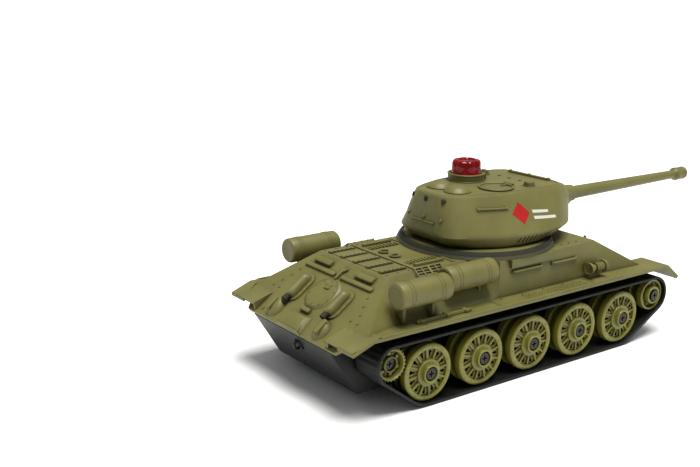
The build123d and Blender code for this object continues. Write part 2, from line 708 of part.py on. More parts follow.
for side_name, side in sides.items():
    face = side_plane(sprocket_x, wheel_inner_y, sprocket_z, side)
    with BuildPart() as sprocket:
        with BuildSketch(face) as disc:
            Circle(sprocket_radius)
        extrude(amount=sprocket_width)
        with BuildSketch(face.offset((wheel_width - guide_groove_width) / 2)) as groove:
            Circle(sprocket_radius + 1.0)
            Circle(sprocket_radius - guide_groove_depth, mode=Mode.SUBTRACT)
        extrude(amount=guide_groove_width, mode=Mode.SUBTRACT)
        with BuildSketch(face.offset(sprocket_width)) as dish:
            Circle(sprocket_radius - 1.7)
        extrude(amount=-2.6, mode=Mode.SUBTRACT)
        with BuildSketch(face.offset(sprocket_width - 2.6)) as hub_tube:
            Circle(3.6)
        extrude(amount=1.4)
        with BuildSketch(face.offset(sprocket_width)) as edge_notches:
            with PolarLocations(sprocket_radius, 26):
                Rectangle(1.0, 0.8)
        extrude(amount=-1.2, mode=Mode.SUBTRACT)
        with BuildSketch(face.offset(sprocket_width - 2.6)) as web_holes:
            with PolarLocations(4.9, 6):
                Circle(0.8)
        extrude(amount=-1.2, mode=Mode.SUBTRACT)
        with BuildSketch(face.offset(sprocket_seat_t)) as screw_well:
            Circle(screw_head_radius + 0.3)
        extrude(amount=4.0, mode=Mode.SUBTRACT)
        with BuildSketch(face) as bore:
            Circle(shaft_radius + seat_gap)
        extrude(amount=sprocket_width, mode=Mode.SUBTRACT)
    save(sprocket.part, f"sprocket_{side_name}")

    sprocket_screw = pan_screw(side_plane(sprocket_x, shaft_end_y, sprocket_z, side), 5.0)
    save(sprocket_screw, f"sprocket_screw_{side_name}")

    with BuildPart() as final_drive:
        with BuildSketch(side_plane(sprocket_x, gearbox_inner_y + 0.2, sprocket_z, side)) as shaft:
            Circle(shaft_radius)
        extrude(amount=shaft_end_y - gearbox_inner_y - 0.2)
        with BuildSketch(side_plane(sprocket_x, gear_inner_y, sprocket_z, side)) as gear_outline:
            Polygon(*gear_points(final_teeth, gear_module, 0), align=None)
        extrude(amount=gear_width)
        with BuildSketch(side_plane(sprocket_x, shaft_end_y - 6.0, sprocket_z, side)) as shaft_hole:
            Circle(screw_shank_radius + seat_gap)
        extrude(amount=6.0, mode=Mode.SUBTRACT)
    save(final_drive.part, f"final_drive_{side_name}")

    with BuildPart() as motor_pinion:
        with BuildSketch(side_plane(motor_x, gear_inner_y, sprocket_z, side)) as pinion_outline:
            Polygon(*gear_points(pinion_teeth, gear_module, math.pi + math.pi / pinion_teeth), align=None)
        extrude(amount=gear_width)
        with BuildSketch(side_plane(motor_x, gearbox_inner_y - 4.0, sprocket_z, side)):
            Circle(motor_shaft_radius)
        extrude(amount=gear_inner_y - gearbox_inner_y + 4.0)
    save(motor_pinion.part, f"motor_pinion_{side_name}")

    with BuildPart() as drive_motor:
        with BuildSketch(side_plane(motor_x, gearbox_inner_y - motor_length, sprocket_z, side)):
            Circle(motor_radius)
        extrude(amount=motor_length)
        with BuildSketch(side_plane(motor_x, gearbox_inner_y - 5.0, sprocket_z, side)):
            Circle(motor_shaft_radius + running_gap)
        extrude(amount=5.0, mode=Mode.SUBTRACT)
    save(drive_motor.part, f"drive_motor_{side_name}")

    final_tip = gear_module * (final_teeth / 2 + 0.9)
    with BuildPart() as gearbox:
        for inset, mode in ((0, Mode.ADD), (gearbox_wall, Mode.SUBTRACT)):
            with BuildSketch(side_plane(0, gearbox_inner_y + inset, 0, side)) as box_outline:
                with Locations((sprocket_x, -side * sprocket_z)):
                    Circle(final_tip + 0.5 + gearbox_wall - inset)
                with Locations((motor_x, -side * sprocket_z)):
                    Circle(motor_radius + 0.5 - inset)
                make_hull()
            extrude(amount=gearbox_outer_y - gearbox_inner_y - 2 * inset, mode=mode)
        with BuildSketch(side_plane(sprocket_x, gearbox_inner_y - 1, sprocket_z, side)):
            Circle(shaft_radius + running_gap)
        extrude(amount=gearbox_outer_y - gearbox_inner_y + 2, mode=Mode.SUBTRACT)
        with BuildSketch(side_plane(motor_x, gearbox_inner_y - 1, sprocket_z, side)):
            Circle(motor_shaft_radius + 0.5)
        extrude(amount=gearbox_wall + 1.5, mode=Mode.SUBTRACT)
    save(gearbox.part, f"gearbox_{side_name}")

# ---------------------------------------------------------------------------
# Turret traverse: motor, its mounting plate and its pinion
# ---------------------------------------------------------------------------
ring_module = 0.75
ring_teeth = 72
traverse_teeth = 14
traverse_x = turret_x - ring_module * (ring_teeth + traverse_teeth) / 2
neck_radius = ring_hole_radius - ring_gap
neck_bore = 20.0
ring_gear_top_z = hull_roof_inner_z - ring_gap
ring_gear_height = 3.0
ring_gear_z = ring_gear_top_z - ring_gear_height
traverse_motor_height = 12.0
traverse_plate_z = ring_gear_z - 1.8
traverse_plate_thickness = 1.2
traverse_post_y = 9.0

with BuildPart() as traverse_pinion:
    with BuildSketch(Plane.XY.offset(ring_gear_z)) as traverse_teeth_outline:
        with Locations((traverse_x, 0)):
            Polygon(*gear_points(traverse_teeth, ring_module, math.pi / traverse_teeth), align=None)
    extrude(amount=ring_gear_height - 0.4)
    with BuildSketch(Plane.XY.offset(traverse_plate_z - 4.0)) as traverse_shaft:
        with Locations((traverse_x, 0)):
            Circle(motor_shaft_radius)
    extrude(amount=ring_gear_z - traverse_plate_z + 4.0)
save(traverse_pinion.part, "traverse_pinion")

with BuildPart() as traverse_motor:
    with BuildSketch(Plane.XY.offset(traverse_plate_z - traverse_motor_height)) as traverse_can:
        with Locations((traverse_x, 0)):
            Circle(6.0)
    extrude(amount=traverse_motor_height)
    with BuildSketch(Plane.XY.offset(traverse_plate_z)) as traverse_bearing:
        with Locations((traverse_x, 0)):
            Circle(motor_shaft_radius + running_gap)
    extrude(amount=-5.0, mode=Mode.SUBTRACT)
save(traverse_motor.part, "traverse_motor")

with BuildPart() as traverse_mount:
    with BuildSketch(Plane.XY.offset(traverse_plate_z)) as mount_plate:
        with Locations((traverse_x, 0)):
            Rectangle(10.0, 2 * traverse_post_y + 5.0)
            Circle(motor_shaft_radius + part_gap, mode=Mode.SUBTRACT)
    extrude(amount=traverse_plate_thickness)
    with BuildSketch(Plane.XY.offset(traverse_plate_z)) as mount_posts:
        with Locations((traverse_x, -traverse_post_y), (traverse_x, traverse_post_y)):
            Circle(1.8)
    extrude(amount=hull_roof_inner_z - traverse_plate_z)
save(traverse_mount.part, "traverse_mount")

# ---------------------------------------------------------------------------
# Turret: base with its neck, ring gear, cast shell and fittings
# ---------------------------------------------------------------------------

# Half-outlines from the rear to the front: distance ahead of the turret axis, half-width
floor_half = [(-27.0, 15.0), (-20.0, 21.5), (-9.0, 27.6), (1.0, 29.6), (12.0, 28.8), (24.0, 24.6), (35.0, 18.6), (46.0, 12.0)]
belt_half = [(-30.6, 19.5), (-23.3, 23.1), (-10.8, 29.5), (-0.3, 31.7), (12.5, 31.9), (26.9, 28.4), (39.7, 21.1), (53.0, 12.5)]
roof_half = [(-28.8, 12.0), (-21.5, 18.0), (-10.3, 22.5), (-2.0, 24.8), (9.0, 25.1), (20.0, 23.2), (29.0, 20.0), (37.0, 13.5)]


def moved_in(half, inset):
    """A half-outline moved in by a wall, square to itself, with its two ends moved along X."""
    moved = []
    for i, (x, y) in enumerate(half):
        before = half[max(i - 1, 0)]
        after = half[min(i + 1, len(half) - 1)]
        along = Vector(after[0] - before[0], after[1] - before[1]).normalized()
        moved.append([x + along.Y * inset, y - along.X * inset])
    for end, near, step in ((0, 1, inset), (-1, -2, -inset)):
        slope = (half[near][1] - half[end][1]) / (half[near][0] - half[end][0])
        target = half[end][0] + step
        moved[end][1] += slope * (target - moved[end][0])
        moved[end][0] = target
    return moved


def turret_outline(half, inset):
    """A closed sketch through one half-outline and its mirror image, moved in by a wall."""
    left = [Vector(turret_x + x, y) for x, y in moved_in(half, inset)]
    right = [Vector(turret_x + x, -y) for x, y in reversed(moved_in(half, inset))]
    with BuildSketch(Plane.XY) as outline:
        with BuildLine() as edge:
            Spline(*left)
            Line(left[-1], right[0])
            Spline(*right)
            Line(right[-1], left[0])
        make_face()
    return outline.sketch


trunnion_x = turret_x + gun_pivot_ahead
trunnion_radius = 2.0
cheek_inner_y = mantlet_half_width + part_gap
cheek_thickness = 2.0
cheek_radius = 3.0
floor_thickness = 1.5
front_window_half = mantlet_half_width + 0.4
window_radius = mantlet_radius + 0.4
dome_x = turret_x + 3.3
dome_y = 11.2
cupola_radius = 9.0
cupola_height = 3.6
hatch_x = turret_x + 2.5
hatch_y = -10.2
hatch_radius = 8.8
vent_x = turret_x - 17.5
vent_y = 6.0
vent_radius = 5.6
base_screw_radius_at = 23.0
lamp_radius = 2.5
under_roof_share = (turret_roof_z - turret_wall - turret_belt_z) / (turret_roof_z - turret_belt_z)
under_roof_half = [
    (belt[0] + (roof[0] - belt[0]) * under_roof_share, belt[1] + (roof[1] - belt[1]) * under_roof_share)
    for belt, roof in zip(belt_half, roof_half)
]

with BuildPart() as turret_shell:
    with BuildSketch(Plane.XY.offset(turret_floor_z)) as shell_floor:
        add(turret_outline(floor_half, 0))
    with BuildSketch(Plane.XY.offset(turret_belt_z)) as shell_belt:
        add(turret_outline(belt_half, 0))
    with BuildSketch(Plane.XY.offset(turret_roof_z)) as shell_roof:
        add(turret_outline(roof_half, 0))
    loft(ruled=True)
    # Raised vents, periscope blocks, lifting lugs and the hatch's hinge, cast with the roof
    with BuildSketch(Plane.XY.offset(turret_roof_z - 0.5)) as vent_foot:
        with Locations((vent_x, -vent_y), (vent_x, vent_y)):
            Circle(vent_radius)
    extrude(amount=1.3)
    with BuildSketch(Plane.XY.offset(turret_roof_z + 0.8)) as vent_cap:
        with Locations((vent_x, -vent_y), (vent_x, vent_y)):
            Circle(vent_radius - 0.4)
    extrude(amount=1.4, taper=50)
    with BuildSketch(Plane.XY.offset(turret_roof_z - 0.5)) as periscopes:
        with Locations((turret_x + 18.7, -15.4), (turret_x + 18.7, 15.4)):
            Rectangle(4.0, 3.4)
    extrude(amount=2.3)
    with BuildSketch(Plane.XY.offset(turret_roof_z - 3.0)) as lifting_lugs:
        with Locations((turret_x - 28.4, -8.0), (turret_x - 28.4, 0), (turret_x - 28.4, 8.0)):
            Rectangle(2.0, 1.4)
    extrude(amount=2.4)
    # Hollow inside, open at the bottom
    with BuildSketch(Plane.XY.offset(turret_floor_z)) as cavity_floor:
        add(turret_outline(floor_half, turret_wall))
    with BuildSketch(Plane.XY.offset(turret_belt_z)) as cavity_belt:
        add(turret_outline(belt_half, turret_wall))
    with BuildSketch(Plane.XY.offset(turret_roof_z - turret_wall)) as cavity_roof:
        add(turret_outline(under_roof_half, turret_wall))
    loft(ruled=True, mode=Mode.SUBTRACT)
    # Window for the gun mantlet
    with BuildSketch(cross_plane(trunnion_x, gun_z).offset(-front_window_half)) as gun_window:
        Circle(window_radius)
        Rectangle(40.0, 2 * window_radius, align=(Align.MIN, Align.CENTER))
    extrude(amount=2 * front_window_half, mode=Mode.SUBTRACT)
    # Hole under the dome for its lamp
    with BuildSketch(Plane.XY.offset(turret_roof_z - turret_wall - 1.0)) as lamp_hole:
        with Locations((dome_x, dome_y)):
            Circle(lamp_radius + part_gap)
    extrude(amount=turret_wall + 2.0, mode=Mode.SUBTRACT)
save(turret_shell.part, "turret_shell")

with BuildPart() as turret_base:
    with BuildSketch(Plane.XY.offset(turret_floor_z)) as base_plate:
        add(turret_outline(floor_half, turret_wall + 0.1))
    extrude(amount=floor_thickness)
    with BuildSketch(Plane.XY.offset(ring_gear_top_z)) as neck:
        with Locations((turret_x, 0)):
            Circle(neck_radius)
    extrude(amount=turret_floor_z + floor_thickness - ring_gear_top_z)
    with BuildSketch(Plane.XY.offset(ring_gear_top_z)) as neck_bore_outline:
        with Locations((turret_x, 0)):
            Circle(neck_bore)
    extrude(amount=turret_floor_z + floor_thickness - ring_gear_top_z, mode=Mode.SUBTRACT)
    with BuildSketch(Plane.XY.offset(ring_gear_top_z)) as base_screw_holes:
        with Locations((turret_x, 0)):
            with PolarLocations(base_screw_radius_at, 4, start_angle=45):
                Circle(screw_shank_radius + seat_gap)
    extrude(amount=4.5, mode=Mode.SUBTRACT)
    # Cheeks that hold the gun's trunnions
    for side in sides.values():
        with BuildSketch(side_plane(trunnion_x, cheek_inner_y, 0, side)) as cheek:
            with Locations((0, -side * (turret_floor_z + gun_z) / 2)):
                Rectangle(6.0, gun_z - turret_floor_z)
            with Locations((0, -side * gun_z)):
                Circle(cheek_radius)
                Circle(trunnion_radius + running_gap, mode=Mode.SUBTRACT)
        extrude(amount=cheek_thickness)
save(turret_base.part, "turret_base")

with BuildPart() as turret_ring_gear:
    with BuildSketch(Plane.XY.offset(ring_gear_z)) as ring_outline:
        with Locations((turret_x, 0)):
            Polygon(*gear_points(ring_teeth, ring_module, 0), align=None)
            Circle(neck_bore, mode=Mode.SUBTRACT)
    extrude(amount=ring_gear_height)
    with BuildSketch(Plane.XY.offset(ring_gear_z)) as ring_screw_holes:
        with Locations((turret_x, 0)):
            with PolarLocations(base_screw_radius_at, 4, start_angle=45):
                Circle(screw_shank_radius + seat_gap)
    extrude(amount=ring_gear_height, mode=Mode.SUBTRACT)
save(turret_ring_gear.part, "turret_ring_gear")

base_screw_solids = [
    pan_screw(
        Plane(
            origin=(
                turret_x + base_screw_radius_at * math.cos(math.radians(45 + 90 * i)),
                base_screw_radius_at * math.sin(math.radians(45 + 90 * i)),
                ring_gear_z,
            ),
            x_dir=(1, 0, 0),
            z_dir=(0, 0, -1),
        ),
        6.0,
    )
    for i in range(4)
]
with BuildPart() as base_screws:
    add(base_screw_solids)
save(base_screws.part, "base_screws")

with BuildPart() as cupola_ring:
    with BuildSketch(Plane.XY.offset(turret_roof_z)) as cupola_wall:
        with Locations((dome_x, dome_y)):
            Circle(cupola_radius)
            Circle(dome_radius + seat_gap, mode=Mode.SUBTRACT)
    extrude(amount=cupola_height)
    with BuildSketch(Plane.XY.offset(turret_roof_z)) as cupola_lug:
        with Locations((dome_x - cupola_radius - 0.4, dome_y)):
            Rectangle(1.6, 3.0)
    extrude(amount=2.2)
save(cupola_ring.part, "cupola_ring")

dome_wall = 1.2
dome_foot_z = turret_roof_z
with BuildPart() as signal_dome:
    with BuildSketch(Plane.XY.offset(dome_foot_z)) as dome_outline:
        with Locations((dome_x, dome_y)):
            Circle(dome_radius)
    extrude(amount=dome_top_z - dome_foot_z)
    chamfer(signal_dome.edges().group_by(Axis.Z)[-1], 1.0)
    with BuildSketch(Plane.XY.offset(dome_foot_z)) as dome_hollow:
        with Locations((dome_x, dome_y)):
            Circle(dome_radius - dome_wall)
    extrude(amount=dome_top_z - dome_foot_z - 2.2, mode=Mode.SUBTRACT)
    with BuildSketch(Plane.XY.offset(dome_top_z - 1.0)) as dome_flutes:
        with Locations((dome_x, dome_y)):
            with PolarLocations(dome_radius, 8):
                Circle(1.2)
    extrude(amount=1.0, mode=Mode.SUBTRACT)
save(signal_dome.part, "signal_dome")

with BuildPart() as receiver_board:
    with BuildSketch(Plane.XY.offset(turret_roof_z - turret_wall - 2.0)) as board_disc:
        with Locations((dome_x, dome_y)):
            Circle(6.5)
    extrude(amount=1.2)
    with BuildSketch(Plane.XY.offset(turret_roof_z - turret_wall - 0.8)) as lamp:
        with Locations((dome_x, dome_y)):
            Circle(lamp_radius)
    extrude(amount=5.0)
save(receiver_board.part, "receiver_board")

with BuildPart() as loader_hatch:
    with BuildSketch(Plane.XY.offset(turret_roof_z)) as hatch_disc:
        with Locations((hatch_x, hatch_y)):
            Circle(hatch_radius)
    extrude(amount=1.5)
    with BuildSketch(Plane.XY.offset(turret_roof_z + 0.8)) as hatch_dish:
        with Locations((hatch_x, hatch_y)):
            Circle(hatch_radius - 1.6)
    extrude(amount=0.7, mode=Mode.SUBTRACT)
    with BuildSketch(Plane.XY.offset(turret_roof_z)) as hatch_hinge:
        with Locations((hatch_x - hatch_radius, hatch_y)):
            Rectangle(2.0, 5.0)
    extrude(amount=2.0)
save(loader_hatch.part, "loader_hatch")

# ---------------------------------------------------------------------------
# Gun: mantlet with its trunnions, barrel and the emitter behind the bore
# ---------------------------------------------------------------------------
muzzle_x = overall_length / 2
nose_x = trunnion_x + mantlet_nose
collar_x = nose_x + 6.0
barrel_root_x = trunnion_x + 6.0
bore_radius = 1.2
emitter_length = 8.0
bore_depth = muzzle_x - trunnion_x - 20.0

with BuildPart() as gun_mantlet:
    with BuildSketch(cross_plane(trunnion_x, gun_z).offset(-mantlet_half_width)) as mantlet_drum:
        Circle(mantlet_radius)
    extrude(amount=2 * mantlet_half_width)
    with BuildSketch(forward_plane(trunnion_x, 0, gun_z)) as block_root:
        RectangleRounded(2 * mantlet_half_width, 10.8, 3.0)
    with BuildSketch(forward_plane(nose_x, 0, gun_z)) as block_nose:
        RectangleRounded(12.0, 9.6, 4.0)
    loft()
    with BuildSketch(forward_plane(nose_x, 0, gun_z)) as sleeve_root:
        Circle(4.7)
    with BuildSketch(forward_plane(collar_x, 0, gun_z)) as sleeve_end:
        Circle(barrel_root_radius + 0.8)
    loft()
    with BuildSketch(cross_plane(trunnion_x, gun_z).offset(-cheek_inner_y - cheek_thickness)) as trunnions:
        Circle(trunnion_radius)
    extrude(amount=2 * (cheek_inner_y + cheek_thickness))
    with BuildSketch(forward_plane(barrel_root_x, 0, gun_z)) as barrel_socket:
        Circle(barrel_root_radius + seat_gap)
    extrude(amount=collar_x - barrel_root_x, mode=Mode.SUBTRACT)
save(gun_mantlet.part, "gun_mantlet")

barrel_profile = [
    (barrel_root_x, 0),
    (barrel_root_x, barrel_root_radius),
    (collar_x + 4.0, barrel_root_radius),
    (muzzle_x - muzzle_length, barrel_tip_radius),
    (muzzle_x - muzzle_length + 1.0, muzzle_radius),
    (muzzle_x - 1.5, muzzle_radius - 0.3),
    (muzzle_x, muzzle_radius - 0.9),
    (muzzle_x, 0),
]
with BuildPart() as gun_barrel:
    with BuildSketch(Plane.XZ) as barrel_half:
        Polygon(*[(x, gun_z + r) for x, r in barrel_profile], align=None)
    revolve(axis=Axis((0, 0, gun_z), (1, 0, 0)))
    with BuildSketch(forward_plane(muzzle_x, 0, gun_z)) as gun_bore:
        Circle(bore_radius)
    extrude(amount=-bore_depth, mode=Mode.SUBTRACT)
save(gun_barrel.part, "gun_barrel")

with BuildPart() as infrared_emitter:
    with BuildSketch(forward_plane(muzzle_x - bore_depth, 0, gun_z)) as emitter_can:
        Circle(bore_radius - seat_gap)
    extrude(amount=emitter_length)
save(infrared_emitter.part, "infrared_emitter")

# ---------------------------------------------------------------------------
# Fittings on the hull
# ---------------------------------------------------------------------------
def fuel_drum(label, rear, front, y):
    """A drum with end beads and two strap bands, standing on two saddle brackets."""
    side = math.copysign(1, y)
    with BuildPart() as drum:
        with BuildSketch(forward_plane(rear, y, drum_z)) as barrel:
            Circle(drum_radius - strap_height)
        extrude(amount=front - rear)
        chamfer(drum.edges(), drum_bead)
        for x in (rear + strap_inset, front - strap_inset - strap_width):
            with BuildSketch(forward_plane(x, y, drum_z)) as band:
                Circle(drum_radius)
            extrude(amount=strap_width)
    save(drum.part, label)


for drum_label, (drum_rear, drum_front, drum_y) in drum_sets.items():
    fuel_drum(drum_label, drum_rear, drum_front, drum_y)


exhaust_y = 14.5
exhaust_s = 19.8  # middle of an exhaust hood, up the rear plate from its lower edge
hood_length = 15.6
hood_width = 6.2
hood_height = 2.6
flange_height = 0.8
pipe_radius = 2.0
pipe_length = 4.5
pipe_wall = 0.5
pipe_height = 2.1  # centre of a tail pipe, out from the rear plate
hood_foot_s = exhaust_s - hood_length / 2

pipe_drop = Plane(
    origin=rear_face.from_local_coords((0, hood_foot_s + 1.2, pipe_height)),
    x_dir=(0, -1, 0),
    z_dir=-rear_face.y_dir,
)

with BuildPart() as exhausts:
    with BuildSketch(rear_face) as hood_flanges:
        with Locations((-exhaust_y, exhaust_s), (exhaust_y, exhaust_s)):
            SlotOverall(hood_length, hood_width + 2.0, rotation=90)
    extrude(amount=flange_height)
    with BuildSketch(rear_face.offset(flange_height)) as hoods:
        with Locations((-exhaust_y, exhaust_s), (exhaust_y, exhaust_s)):
            SlotOverall(hood_length - 1.6, hood_width, rotation=90)
    extrude(amount=hood_height)
    outward = Axis(rear_face.origin, rear_face.z_dir)
    fillet(exhausts.edges().group_by(outward)[-1], hood_height * 0.6)
    with BuildSketch(pipe_drop) as pipe_outline:
        with Locations((-exhaust_y, 0), (exhaust_y, 0)):
            Circle(pipe_radius)
    extrude(amount=pipe_length)
    with BuildSketch(pipe_drop.offset(pipe_length)) as pipe_bore:
        with Locations((-exhaust_y, 0), (exhaust_y, 0)):
            Circle(pipe_radius - pipe_wall)
    extrude(amount=1.0 - pipe_length, mode=Mode.SUBTRACT)
save(exhausts.part, "exhausts")

hook_radius = 2.6
hook_eye_radius = 1.3
hook_width = 1.6
tow_hook_s = 6.5
bracket_height = 3.2
hook_stand = bracket_height + hook_radius + running_gap
tub_rear_low = Vector(*tub_profile[2])
tub_rear_high = Vector(*tub_profile[1])
centre_hook_z = 18.0
with BuildPart() as tow_hooks:
    rear_hook = rear_face.from_local_coords((0, tow_hook_s, hook_stand))
    centre_share = (centre_hook_z - tub_rear_low.Y) / (tub_rear_high.Y - tub_rear_low.Y)
    centre_edge = tub_rear_low + (tub_rear_high - tub_rear_low) * centre_share
    rear_lean = (tub_rear_high - tub_rear_low).normalized()
    hook_reach = 1.5 * hook_radius + running_gap
    for x, z, y, reach in (
        (rear_hook.X, rear_hook.Z, -tow_y, 1.0),
        (rear_hook.X, rear_hook.Z, tow_y, 1.0),
        (centre_edge.X + rear_lean.Y * -hook_reach, centre_hook_z + rear_lean.X * hook_reach, 0, 1.5),
    ):
        with BuildSketch(Plane(origin=(x, y - hook_width / 2, z), x_dir=(1, 0, 0), z_dir=(0, 1, 0))):
            Circle(hook_radius * reach)
            Circle(hook_eye_radius * reach, mode=Mode.SUBTRACT)
        extrude(amount=hook_width)
save(tow_hooks.part, "tow_hooks")

horn_x = last_axle_x - 20.0
horn_length = 11.0
horn_radius = 3.0
side_y = hull_corners[4][0][1]
horn_y = -(side_y + 0.3 + horn_radius)
horn_z = 41.0
with BuildPart() as side_horn:
    with BuildSketch(forward_plane(horn_x, horn_y, horn_z)) as horn_mouth:
        Circle(horn_radius)
    with BuildSketch(forward_plane(horn_x + 4.0, horn_y, horn_z)) as horn_throat:
        Circle(horn_radius - 1.6)
    loft()
    with BuildSketch(forward_plane(horn_x + 4.0, horn_y, horn_z)) as horn_body:
        Circle(horn_radius - 0.5)
    extrude(amount=horn_length - 5.0)
    with BuildSketch(forward_plane(horn_x + horn_length - 1.4, horn_y, horn_z)) as horn_flange:
        Circle(horn_radius)
    extrude(amount=1.4)
save(side_horn.part, "side_horn")

tool_rear = first_axle_x - 5.0
tool_length = 30.0
tool_y = -41.4
with BuildPart() as fender_saw:
    with BuildSketch(Plane.XY.offset(fender_z)) as saw_blade:
        with Locations((tool_rear, tool_y)):
            Rectangle(tool_length, 2.4, align=(Align.MIN, Align.CENTER))
        with Locations((tool_rear + 1.5, tool_y), (tool_rear + tool_length - 3.0, tool_y)):
            Rectangle(3.0, 3.6)
    extrude(amount=1.5)
save(fender_saw.part, "fender_saw")

rail_z = 46.2
rail_radius = 0.6
rail_stand = 1.0
rail_wall_y = side_y - (side_y - hull_corners[4][1][1]) * (rail_z - fender_z) / (roof_z - fender_z)
rail_spans = [(turret_x - 11.5, turret_x + 4.5), (turret_x + 10.5, turret_x + 26.5)]
with BuildPart() as hull_handrails:
    for side in sides.values():
        for rail_rear, rail_front in rail_spans:
            rail_y = side * (rail_wall_y + rail_stand + rail_radius)
            with BuildSketch(forward_plane(rail_rear, rail_y, rail_z)) as rail:
                Circle(rail_radius)
            extrude(amount=rail_front - rail_rear)
            for x in (rail_rear + rail_radius, rail_front - rail_radius):
                with BuildSketch(side_plane(x, rail_wall_y + 0.15, rail_z, side)) as rail_post:
                    Circle(rail_radius * 0.9)
                extrude(amount=rail_stand + rail_radius - 0.15)
save(hull_handrails.part, "hull_handrails")

bow_gun_y = -14.0
bow_ball_radius = 3.4
with BuildPart() as bow_gun:
    with BuildSketch(glacis_face.offset(seat_gap)) as ball_foot:
        with Locations((bow_gun_y, 15.0)):
            Circle(bow_ball_radius)
    extrude(amount=2.6, taper=30)
    bow_origin = glacis_face.from_local_coords((bow_gun_y, 15.0, 1.6))
    with BuildSketch(Plane(origin=bow_origin, z_dir=(1, 0, 0))) as bow_barrel:
        Circle(0.8)
    extrude(amount=9.0)
save(bow_gun.part, "bow_gun")

case_screw_solids = [
    pan_screw(Plane(origin=(x, y, well_top_z), x_dir=(1, 0, 0), z_dir=(0, 0, -1)), 8.0)
    for x, top_z in screw_columns
    for y in (-screw_column_y, screw_column_y)
]
cover_screw_face = Plane(
    origin=(cover_screw_x, 0, belly_z + cover_sink), x_dir=(1, 0, 0), z_dir=(0, 0, -1)
)
with BuildPart() as case_screws:
    add(case_screw_solids)
    add(pan_screw(cover_screw_face, 6.0))
save(case_screws.part, "case_screws")
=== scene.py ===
import json
import math

import bmesh
import bpy
from mathutils import Matrix, Vector
from mathutils.bvhtree import BVHTree

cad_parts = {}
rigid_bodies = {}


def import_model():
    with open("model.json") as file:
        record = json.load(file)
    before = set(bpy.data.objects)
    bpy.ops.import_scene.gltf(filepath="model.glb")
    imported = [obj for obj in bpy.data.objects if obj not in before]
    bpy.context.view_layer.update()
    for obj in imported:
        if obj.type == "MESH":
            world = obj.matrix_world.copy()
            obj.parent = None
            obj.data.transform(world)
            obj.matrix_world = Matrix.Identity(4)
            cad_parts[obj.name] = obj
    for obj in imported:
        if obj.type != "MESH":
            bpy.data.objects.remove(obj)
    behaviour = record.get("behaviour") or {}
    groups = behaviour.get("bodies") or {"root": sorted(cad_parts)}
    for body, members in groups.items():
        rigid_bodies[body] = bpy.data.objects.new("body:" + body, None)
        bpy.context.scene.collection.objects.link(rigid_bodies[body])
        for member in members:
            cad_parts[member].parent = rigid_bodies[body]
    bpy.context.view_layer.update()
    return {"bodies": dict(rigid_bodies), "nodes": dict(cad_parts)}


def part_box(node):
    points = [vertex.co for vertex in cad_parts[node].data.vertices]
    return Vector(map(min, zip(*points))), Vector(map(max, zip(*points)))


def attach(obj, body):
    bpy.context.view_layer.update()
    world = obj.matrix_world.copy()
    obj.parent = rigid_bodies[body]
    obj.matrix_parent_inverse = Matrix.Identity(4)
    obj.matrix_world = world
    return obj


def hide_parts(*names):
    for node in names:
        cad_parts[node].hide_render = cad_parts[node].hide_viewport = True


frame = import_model()
MM = 0.001
NODES = frame["nodes"]

# --- Places read from the frame, in millimetres ---


def box_mm(node):
    low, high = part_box(node)
    return low / MM, high / MM


def middle(node):
    low, high = box_mm(node)
    return (low + high) / 2


def half_height(node):
    low, high = box_mm(node)
    return (high.z - low.z) / 2


def tree(node):
    mesh = NODES[node].data
    return BVHTree.FromPolygons(
        [v.co / MM for v in mesh.vertices], [tuple(p.vertices) for p in mesh.polygons]
    )


AXLE = middle("road_wheel_right_1")
HULL = tree("upper_hull")
TUB = tree("lower_hull")
SHELL = tree("turret_shell")
dome_mid = middle("signal_dome")
hatch_low, hatch_high = box_mm("loader_hatch")
ring_mid = middle("turret_ring_gear")
cupola_low, cupola_high = box_mm("cupola_ring")
COLLAR_HEIGHT = 3.0
ROOF_Z = box_mm("upper_hull")[1].z - COLLAR_HEIGHT
TURRET_FOOT_Z = box_mm("turret_shell")[0].z
TURRET_ROOF_Z = cupola_low.z
TURRET_X = ring_mid.x
SIDES = {"left": 1, "right": -1}


def at(m):
    """A place along the hull, from its distance ahead of the first axle."""
    return AXLE.x + m


FAR_BEHIND = at(-120)


# --- Mesh kit: every shape is added to a bmesh in millimetres ---


def basis(origin, z, x):
    """A frame with its Z along z and its X as near to x as it can be."""
    z = Vector(z).normalized()
    x = Vector(x)
    x = (x - z * x.dot(z)).normalized()
    y = z.cross(x)
    m = Matrix((x, y, z)).transposed().to_4x4()
    m.translation = Vector(origin)
    return m


def upright(x, y, z):
    return Matrix.Translation((x, y, z))


def dropped(surface, start, way, along):
    """A frame where a ray meets a surface, with its Z along the surface's normal."""
    hit, normal, _, _ = surface.ray_cast(Vector(start), Vector(way).normalized())
    if hit is None:
        raise ValueError(f"nothing under {tuple(start)}")
    if normal.dot(Vector(way)) > 0:
        normal = -normal
    return basis(hit, normal, along)


def down(surface, x, y, top):
    """Where a surface is met from a height above it."""
    return dropped(surface, (x, y, top), (0, 0, -1), (1, 0, 0))


def across(surface, x, z, side):
    """Where a surface is met from the left (side 1) or the right (side -1)."""
    return dropped(surface, (x, side * 80.0, z), (0, -side, 0), (1, 0, 0))


def behind(surface, y, z, along=(0, 1, 0)):
    """Where a surface is met from the back."""
    return dropped(surface, (FAR_BEHIND, y, z), (1, 0, 0), along)


def lifted(place, height):
    """The point at a height above a place on a surface."""
    return place.translation + place.to_3x3().col[2] * height


def loft(bm, rings, closed=False):
    """A skin through rings of points, all with the same number of points."""
    rows = [[bm.verts.new(p) for p in ring] for ring in rings]
    count = len(rows[0])
    for a, b in zip(rows, rows[1:] + ([rows[0]] if closed else [])):
        for i in range(count):
            j = (i + 1) % count
            bm.faces.new((a[i], a[j], b[j], b[i]))
    if not closed:
        bm.faces.new(list(reversed(rows[0])))
        bm.faces.new(rows[-1])


